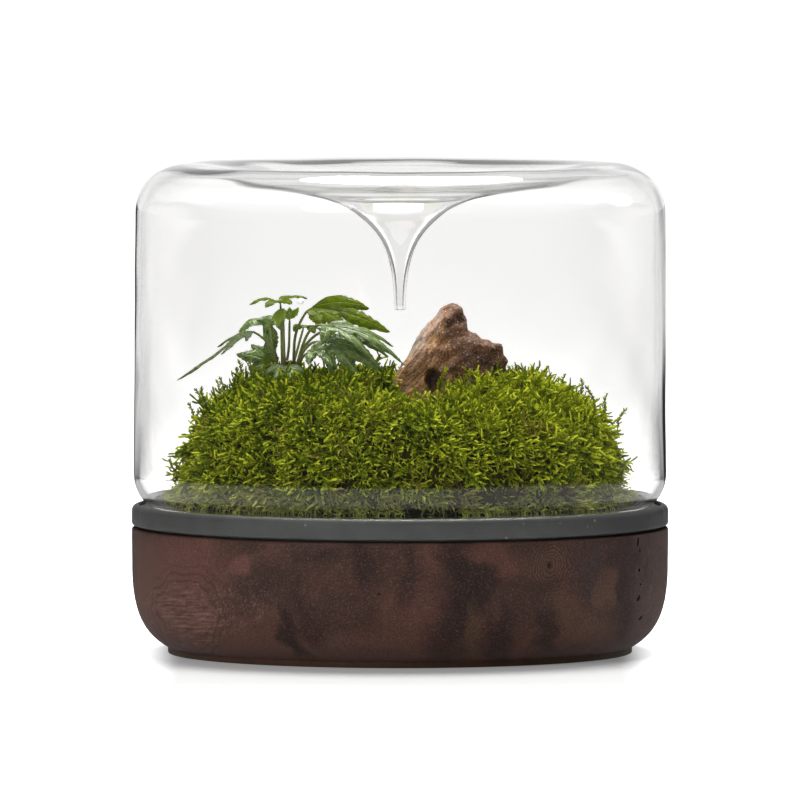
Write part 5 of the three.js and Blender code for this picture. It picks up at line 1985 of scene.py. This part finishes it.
@dataclass
class Moss:
    """The moss mound: a dark bed, partly painted shade, and shoots in tufts all over it."""

    radius: float = 88.5
    waist: float = 66.0
    rise: float = 44.0
    foot: float = 61.2
    mat_foot: float = 61.1
    middle: Pair = (10.0, 2.0)
    tufts: int = 290
    shoots_in_tuft: int = 26
    fringe_shoots: int = 900
    length: float = 13.5
    widest: float = 98.5
    patterns: int = 7  # the last of them is thin and hairy, and the brush-like one for the spires comes after it
    spires: tuple[Triple, ...] = (  # the tops of the shoots that stand above the rest
        (-65.3, 0, 119.8), (-63.4, 6, 117.0), (-61.2, -2, 118.8), (-68.6, 4, 115.4), (-71.4, -4, 113.0),
        (-74.8, 2, 111.7), (-77.6, -6, 109.6), (-80.5, 3, 108.6), (-83.4, -3, 102.6), (-57.0, -4, 117.0),
        (15.5, -25, 118.4), (24.0, -27, 118.4), (19.5, -31, 113.0), (50.0, -3, 116.2), (54.0, 0, 116.8),
        (59.2, 4, 117.2), (67.0, 2, 114.2), (73.0, -2, 112.4), (79.5, 0, 109.6), (84.9, 2, 106.6),
        (89.6, 0, 100.2),
    )
    gaps: tuple[tuple[float, ...], ...] = (  # dark gaps in front: across, up, half the width and the height
        (34, 75, 14, 5.5), (86, 71, 6, 5), (-50, 86, 7, 4), (10, 66, 10, 5),
    )
    cushions: tuple[tuple[str, float, float], ...] = (  # each cushion's node, and where it starts and ends
        ("moss_left", 130, 205), ("moss_front", 205, 285), ("moss_right", 285, 385), ("moss_back", 25, 130),
    )
    shares: int = 3  # pieces for each cushion

    @property
    def lowest(self) -> float:
        """The angle up the mound at its foot, in radians."""
        return math.asin((self.foot - self.waist) / self.rise)

    def relief(self, x: np.ndarray, y: np.ndarray) -> np.ndarray:
        """Work out how far the moss rises above or sinks below the plain mound.

        Args:
            x: the ways across.
            y: the ways backwards.

        Returns:
            The height to add at each place.
        """
        valley = -13.0 * np.exp(-(((x - 7) / 15) ** 2) - ((y + 32) / 25) ** 2)
        rise = 4.4 * np.exp(-(((x + 54) / 22) ** 2) - (y / 34) ** 2)
        shoulder = 2.4 * np.exp(-(((x - 66) / 20) ** 2) - (y / 50) ** 2)
        return valley + rise + shoulder + 0.9 * np.sin(x / 8 + 1.3) * np.cos(y / 10 - 0.6)

    def mound(self, turn: np.ndarray, azimuth: np.ndarray) -> np.ndarray:
        """Find points on the mound.

        Args:
            turn: the angles up the mound, in radians.
            azimuth: the angles round it.

        Returns:
            The points, one a row.
        """
        radius = self.radius * np.sqrt(np.maximum(np.cos(turn), 0))
        height = self.waist + self.rise * np.sin(turn)
        tucked = radius - 0.5 * np.maximum(self.waist - height, 0)
        x, y = tucked * np.cos(azimuth), tucked * np.sin(azimuth)
        share = smooth(0.0, 0.8, np.sin(turn))
        return np.column_stack([x, y, height + share * self.relief(x, y)])

    def outward(self, turn: np.ndarray, azimuth: np.ndarray) -> np.ndarray:
        """Find the mound's normals.

        Args:
            turn: the angles up the mound, in radians.
            azimuth: the angles round it.

        Returns:
            The normals, one a row.
        """
        climb = self.mound(turn + 0.01, azimuth) - self.mound(turn - 0.01, azimuth)
        along = self.mound(turn, azimuth + 0.02) - self.mound(turn, azimuth - 0.02)
        return unit(np.cross(along, climb))

    def places(self, count: int, seed: int) -> tuple[np.ndarray, np.ndarray]:
        """Evenly spread places all over the mound.

        Args:
            count: how many.
            seed: for the small random moves.

        Returns:
            The angles up the mound and round it.
        """
        random = np.random.default_rng(seed)
        turns = np.linspace(self.lowest, math.pi / 2, 400)
        rings = self.mound(turns, np.full(len(turns), math.pi))
        strips = np.linalg.norm(np.diff(rings, axis=0), axis=1) * np.abs(rings[1:, 0] + rings[:-1, 0])
        total = np.concatenate([[0], np.cumsum(strips)])
        shares = (np.arange(count) + random.uniform(0.1, 0.9, count)) / count
        turn = np.interp(shares * total[-1], total, turns)
        azimuth = np.arange(count) * math.pi * (3 - math.sqrt(5)) + random.uniform(-0.05, 0.05, count)
        return turn, azimuth

    def pattern(self, seed: int, branchlets: int, thick: float, spread: float = 1.0) -> Shoot:
        """One feathery shoot, 1 long, that rises along Z and droops towards +Y.

        Args:
            seed: for the small differences between patterns.
            branchlets: how many side shoots it has.
            thick: how thick it is, beside a usual shoot.
            spread: how far its side shoots reach, beside a usual shoot's.

        Returns:
            The shoot's pattern.
        """
        random = np.random.default_rng(900 + seed)
        droop = random.uniform(0.26, 0.46)
        share = np.linspace(0, 1, 5)
        sway = 0.07 * np.sin(share * 4 + random.uniform(0, 6))
        stem = np.column_stack([sway - sway[0], droop * share**2, share * (1 - 0.2 * share)])
        lines = [stem * BENCH_LENGTH]
        sizes = [BENCH_LENGTH * thick * np.array([0.02, 0.03, 0.034, 0.036, 0.024])]
        for i in range(branchlets):
            at = 0.14 + 0.8 * i / (branchlets - 1) + random.uniform(-0.02, 0.02)
            root = np.array([np.interp(at, share, stem[:, k]) for k in range(3)])
            ahead = unit(np.array([0.0, 2 * droop * at, 1 - 0.4 * at]))
            lift = np.cross(ahead, [1.0, 0.0, 0.0])
            turn = i * 2.4 + random.uniform(-0.4, 0.4)
            spoke = np.array([math.cos(turn), 0, 0]) + 0.75 * math.sin(turn) * lift
            reach = (0.46 - 0.22 * at) * random.uniform(0.7, 1.3) * spread
            lean = unit(spoke + ahead * random.uniform(0.45, 0.95))
            bend = unit(np.cross(lean, random.normal(size=3))) * random.uniform(-0.5, 0.5) + ahead * 0.3
            half = root + lean * reach * 0.6
            end = half + unit(lean + 1.7 * bend) * reach * 0.45
            lines.append(np.array([root, half, end]) * BENCH_LENGTH)
            sizes.append(BENCH_LENGTH * thick * np.array([0.019, 0.031, 0.023]) * random.uniform(0.8, 1.2))
        piece = Bench.tube("shoot", lines, sizes, 3)
        points = Bench.points(piece) / BENCH_LENGTH
        corners = np.array([v for p in piece.data.polygons for v in p.vertices])
        counts = np.array([len(p.vertices) for p in piece.data.polygons])
        along = np.clip(points[:, 2] / 0.8, 0, 1)
        middle = np.interp(points[:, 2], stem[:, 2], stem[:, 0])
        behind = np.interp(points[:, 2], stem[:, 2], stem[:, 1])
        aside = np.hypot(points[:, 0] - middle, points[:, 1] - behind) / (0.4 - 0.19 * along) / spread
        tips = np.clip(0.05 + 0.42 * along + 0.55 * aside, 0, 1)
        bpy.data.objects.remove(piece)
        return Shoot(points, corners, counts, tips)

    def strewn(self) -> dict[str, np.ndarray]:
        """Where every shoot stands and how it grows.

        Returns:
            Roots, directions, droops, lengths, tints, dryness and patterns, one a row.
        """
        random = np.random.default_rng(2024)
        turn, azimuth = self.places(self.tufts, 8)
        centres, normals = self.mound(turn, azimuth), self.outward(turn, azimuth)
        count = self.tufts * self.shoots_in_tuft
        tuft = np.repeat(np.arange(self.tufts), self.shoots_in_tuft)
        normal = normals[tuft]
        steep = np.sqrt(np.clip(1 - normal[:, 2:] ** 2, 0, 1))
        slope = unit(normal * normal[:, 2:] - UP)
        round_by = random.uniform(0, 2 * math.pi, count)
        side = unit(np.cross(normal, [0.31, 0.17, 0.93]))
        other = np.cross(normal, side)
        spoke = side * np.cos(round_by)[:, None] + other * np.sin(round_by)[:, None]
        rank = np.sqrt(random.uniform(0, 1, count))
        vigour = random.normal(0, 1, self.tufts)[tuft]
        drift = unit(spoke + slope * steep * 0.9)
        opening = np.radians(24 + 44 * rank + random.normal(0, 8, count))
        ways = unit(normal * np.cos(opening)[:, None] + drift * np.sin(opening)[:, None])
        lengths = self.length * random.uniform(0.78, 1.18, count) * (1 + 0.08 * vigour)
        often = 0.07 + 0.2 * (centres[tuft][:, 0] < -48) + 0.08 * (np.abs(centres[tuft][:, 1]) < 25)
        upright = random.uniform(0, 1, count) < often * (normal[:, 2] > 0.3)
        tall = unit(0.45 * normal + UP + 0.25 * random.normal(size=(count, 3)))
        ways = np.where(upright[:, None], tall, ways)
        depth = -4.6 + 1.1 * np.clip(vigour, -1.6, 1.6) - 1.6 * rank
        roots = centres[tuft] + spoke * (5.5 * rank)[:, None] + normal * depth[:, None]
        roots += 0.5 * random.normal(size=(count, 3))
        droops = unit(-normal - 0.45 * UP + 0.3 * random.normal(size=(count, 3)))
        low = smooth(80, 66, roots[:, 2])
        bright = random.uniform(0, 1, self.tufts)[tuft]
        tint = np.clip(0.65 * random.uniform(0, 1, count) + 0.35 * bright, 0, 1)
        dry = (random.uniform(0, 1, count) < 0.03 + 0.35 * low) * random.uniform(0.25, 0.8, count)
        hair = random.uniform(0, 1, count) < 0.03 + 0.4 * smooth(84, 70, roots[:, 2])
        pattern = np.where(hair, self.patterns - 1, random.integers(0, self.patterns - 1, count))
        shoots = {
            "root": roots, "way": ways, "droop": droops, "length": lengths, "tint": tint, "dry": dry,
            "pattern": pattern,
        }
        fringe, spires = self.fringe(), self.upright_shoots()
        return {label: np.concatenate([values, fringe[label], spires[label]]) for label, values in shoots.items()}

    def upright_shoots(self) -> dict[str, np.ndarray]:
        """The few brush-like shoots that stand up above the rest, on the skyline and before the stone.

        Returns:
            The same rows as for the other shoots.
        """
        random = np.random.default_rng(77)
        tops = np.array(self.spires)
        count = len(tops)
        length = random.uniform(12.0, 15.0, count)
        return {
            "root": tops - UP * 0.8 * length[:, None], "way": unit(UP + 0.1 * random.normal(size=(count, 3))),
            "droop": unit(random.normal(size=(count, 3)) * [1, 1, 0.1] + [0, 0, 0.5]), "length": length,
            "tint": random.uniform(0.5, 1.0, count), "dry": random.uniform(0, 0.25, count),
            "pattern": np.full(count, self.patterns),
        }

    def fringe(self) -> dict[str, np.ndarray]:
        """The shoots round the foot of the mound, which lie outwards against the glass.

        Returns:
            The same rows as for the other shoots.
        """
        random = np.random.default_rng(31)
        count = self.fringe_shoots
        azimuth = random.uniform(0, 2 * math.pi, count)
        out = np.column_stack([np.cos(azimuth), np.sin(azimuth), np.zeros(count)])
        along = np.column_stack([-out[:, 1], out[:, 0], np.zeros(count)])
        ways = unit(out + 1.1 * random.normal(size=(count, 1)) * along + UP * random.uniform(-0.1, 0.4, (count, 1)))
        return {
            "root": out * random.uniform(86, 93, (count, 1)) + UP * random.uniform(61.6, 65.5, (count, 1)),
            "way": ways, "droop": unit(-UP + 0.4 * random.normal(size=(count, 3))),
            "length": random.uniform(7.0, 11.0, count), "tint": random.uniform(0.3, 1.0, count),
            "dry": random.uniform(0, 0.6, count) * (random.uniform(0, 1, count) < 0.5),
            "pattern": np.where(random.uniform(0, 1, count) < 0.55, self.patterns - 1,
                                random.integers(0, self.patterns - 1, count)),
        }

    def fitting(self, shoots: dict[str, np.ndarray], stone: Stone, blades: Sequence[Piece]) -> np.ndarray:
        """Find the shoots that stay clear of the glass, the stone and the leaves, and thin them at the gaps.

        Args:
            shoots: where each stands and how it grows.
            stone: the stone.
            blades: the leaf blades.

        Returns:
            True for each shoot that stays.
        """
        root, way, length = shoots["root"], shoots["way"], shoots["length"][:, None]
        forward = unit(shoots["droop"] - way * (shoots["droop"] * way).sum(axis=1, keepdims=True))
        path = [root + (way * s * (1 - 0.2 * s) + forward * 0.36 * s**2) * length for s in (0.35, 0.7, 1.05)]
        tip = path[-1]
        reach = np.hypot(tip[:, 0], tip[:, 1])
        keep = (reach < self.widest) & (tip[:, 2] > 60.6) & (root[:, 2] > 58)
        for point in path:
            keep &= ~stone.holds(point, 0.3)
        random = np.random.default_rng(12)
        for x, z, wide, tall in self.gaps:
            gap = np.exp(-(((root[:, 0] - x) / wide) ** 2 + ((root[:, 2] - z) / tall) ** 2) ** 2) * (root[:, 1] < -25)
            keep &= random.uniform(0, 1, len(root)) > 0.9 * gap
        trees = surfaces(blades)
        near = np.flatnonzero(keep & (root[:, 2] > 95) & (root[:, 0] < 12) & (np.abs(root[:, 1] + 5) < 42))
        for i in near:
            ends = [Vector(p[i] * MM) for p in (root, *path)]
            if any(self.crosses(tree, a, b) for tree in trees for a, b in zip(ends, ends[1:])):
                keep[i] = False
        return keep

    @staticmethod
    def crosses(tree: BVHTree, start: Vector, end: Vector) -> bool:
        """Whether a straight line meets a surface."""
        away = end - start
        return tree.ray_cast(start, away.normalized(), away.length)[0] is not None

    def grown(self, name: str, patterns: Sequence[Shoot], shoots: dict[str, np.ndarray]) -> Piece:
        """A piece of many shoots.

        Args:
            name: the piece's name.
            patterns: the shoots' patterns.
            shoots: where each stands and how it grows.

        Returns:
            The piece, with each point's tip, tint and dryness as attributes.
        """
        way = shoots["way"]
        forward = unit(shoots["droop"] - way * (shoots["droop"] * way).sum(axis=1, keepdims=True))
        side = np.cross(forward, way)
        points, corners, sizes, tips, tints, dries = [], [], [], [], [], []
        base = 0
        for number, pattern in enumerate(patterns):
            own = np.flatnonzero(shoots["pattern"] == number)
            if not len(own):
                continue
            axes = np.stack([side[own], forward[own], way[own]], axis=1) * shoots["length"][own, None, None]
            placed = pattern.points[None] @ axes + shoots["root"][own, None]
            points.append(placed.reshape(-1, 3))
            offsets = base + np.arange(len(own)) * len(pattern.points)
            corners.append((pattern.corners[None] + offsets[:, None]).ravel())
            sizes.append(np.tile(pattern.sizes, len(own)))
            tips.append(np.tile(pattern.tips, len(own)))
            tints.append(np.repeat(shoots["tint"][own], len(pattern.points)))
            dries.append(np.repeat(shoots["dry"][own], len(pattern.points)))
            base += len(own) * len(pattern.points)
        mesh = bpy.data.meshes.new(name)
        every, counts = np.concatenate(corners), np.concatenate(sizes)
        mesh.vertices.add(base)
        mesh.vertices.foreach_set("co", (np.vstack(points) * MM).ravel())
        mesh.loops.add(len(every))
        mesh.loops.foreach_set("vertex_index", every)
        mesh.polygons.add(len(counts))
        mesh.polygons.foreach_set("loop_start", np.concatenate([[0], np.cumsum(counts)[:-1]]))
        for label, values in (("tip", tips), ("tint", tints), ("dry", dries)):
            Bench.mark(mesh, label, np.concatenate(values))
        mesh.update(calc_edges=True)
        mesh.validate()
        piece = Bench.place(name, mesh)
        Bench.shade(piece, 70)
        return piece

    def bed(self, material: bpy.types.Material) -> None:
        """Make the dark matted bed that the shoots stand in, its darkness partly painted shade in the gaps.

        Args:
            material: the moss's finish.
        """
        Bench.clear()
        bpy.ops.mesh.primitive_uv_sphere_add(segments=144, ring_count=72, radius=MM)
        piece = Bench.named("moss_mat")
        Bench.reshape(piece, self.matted)
        Bench.shade(piece, 50)
        # Tip 0 gives the bed the moss's darkest colour: partly a matted base and partly painted shade in the gaps
        # between the shoots.
        for label, value in (("tip", 0.0), ("tint", 0.3), ("dry", 0.12)):
            Bench.mark(piece.data, label, np.full(len(piece.data.vertices), value))
        Bench.settle(piece, material, Slot.MOSS)

    def matted(self, points: np.ndarray) -> np.ndarray:
        """Lay a ball's upper part under the shoots, and fold its lower part in.

        Args:
            points: the ball's points.

        Returns:
            The moved points.
        """
        ball = unit(points)
        share = np.arcsin(np.clip(ball[:, 2], -1, 1)) / (math.pi / 2)
        azimuth = np.arctan2(ball[:, 1], ball[:, 0])
        turn = np.where(share > 0, self.lowest + (math.pi / 2 - self.lowest) * share, self.lowest)
        placed = self.mound(turn, azimuth)
        placed -= self.outward(np.clip(turn, self.lowest, 1.5), azimuth) * 2.0
        placed[:, 2] = np.maximum(placed[:, 2], self.mat_foot)
        fold = np.clip(1 + share, 0, 1)[:, None]
        flat = np.where(share[:, None] < 0, placed * [1, 1, 0] * fold + [0, 0, self.mat_foot], placed)
        return flat + 0.7 * Swell(4, 6).at(flat)[:, None] * ball * (share > 0.02)[:, None]

    def build(self, stone: Stone, blades: Sequence[Piece]) -> None:
        """Grow the moss round the stone and the plant.

        Args:
            stone: the stone, which the shoots stay out of.
            blades: the leaf blades, which they stay clear of.
        """
        material = MossFinish().build()
        self.bed(material)
        patterns = [self.pattern(i, 11, 0.95) for i in range(self.patterns - 1)]
        patterns += [self.pattern(self.patterns, 7, 0.5), self.pattern(60, 26, 0.75, 0.3)]
        shoots = self.strewn()
        keep = self.fitting(shoots, stone, blades)
        shoots = {label: values[keep] for label, values in shoots.items()}
        root = shoots["root"]
        angle = np.degrees(np.arctan2(root[:, 1] - self.middle[1], root[:, 0] - self.middle[0]))
        for node, start, end in self.cushions:
            for i in range(self.shares):
                low = start + (end - start) * i / self.shares
                high = start + (end - start) * (i + 1) / self.shares
                inside = ((angle - low) % 360) < (high - low)
                own = {label: values[inside] for label, values in shoots.items()}
                piece = self.grown(f"{node}_shoots_{i + 1}", patterns, own)
                Bench.settle(piece, material, Slot.MOSS, node)


def main() -> None:
    """Build the terrarium and its studio, piece by piece."""
    logging.basicConfig(level=logging.INFO, format="%(name)s: %(message)s")
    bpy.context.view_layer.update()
    Studio().build()
    WoodenBase().build()
    GrowingTray().build()
    SoilBed().build()
    stone = Stone()
    stone.build()
    plant = Plant()
    plant.build()
    Moss().build(stone, plant.blades)
    GlassDome().build()


if __name__ == "__main__":
    main()
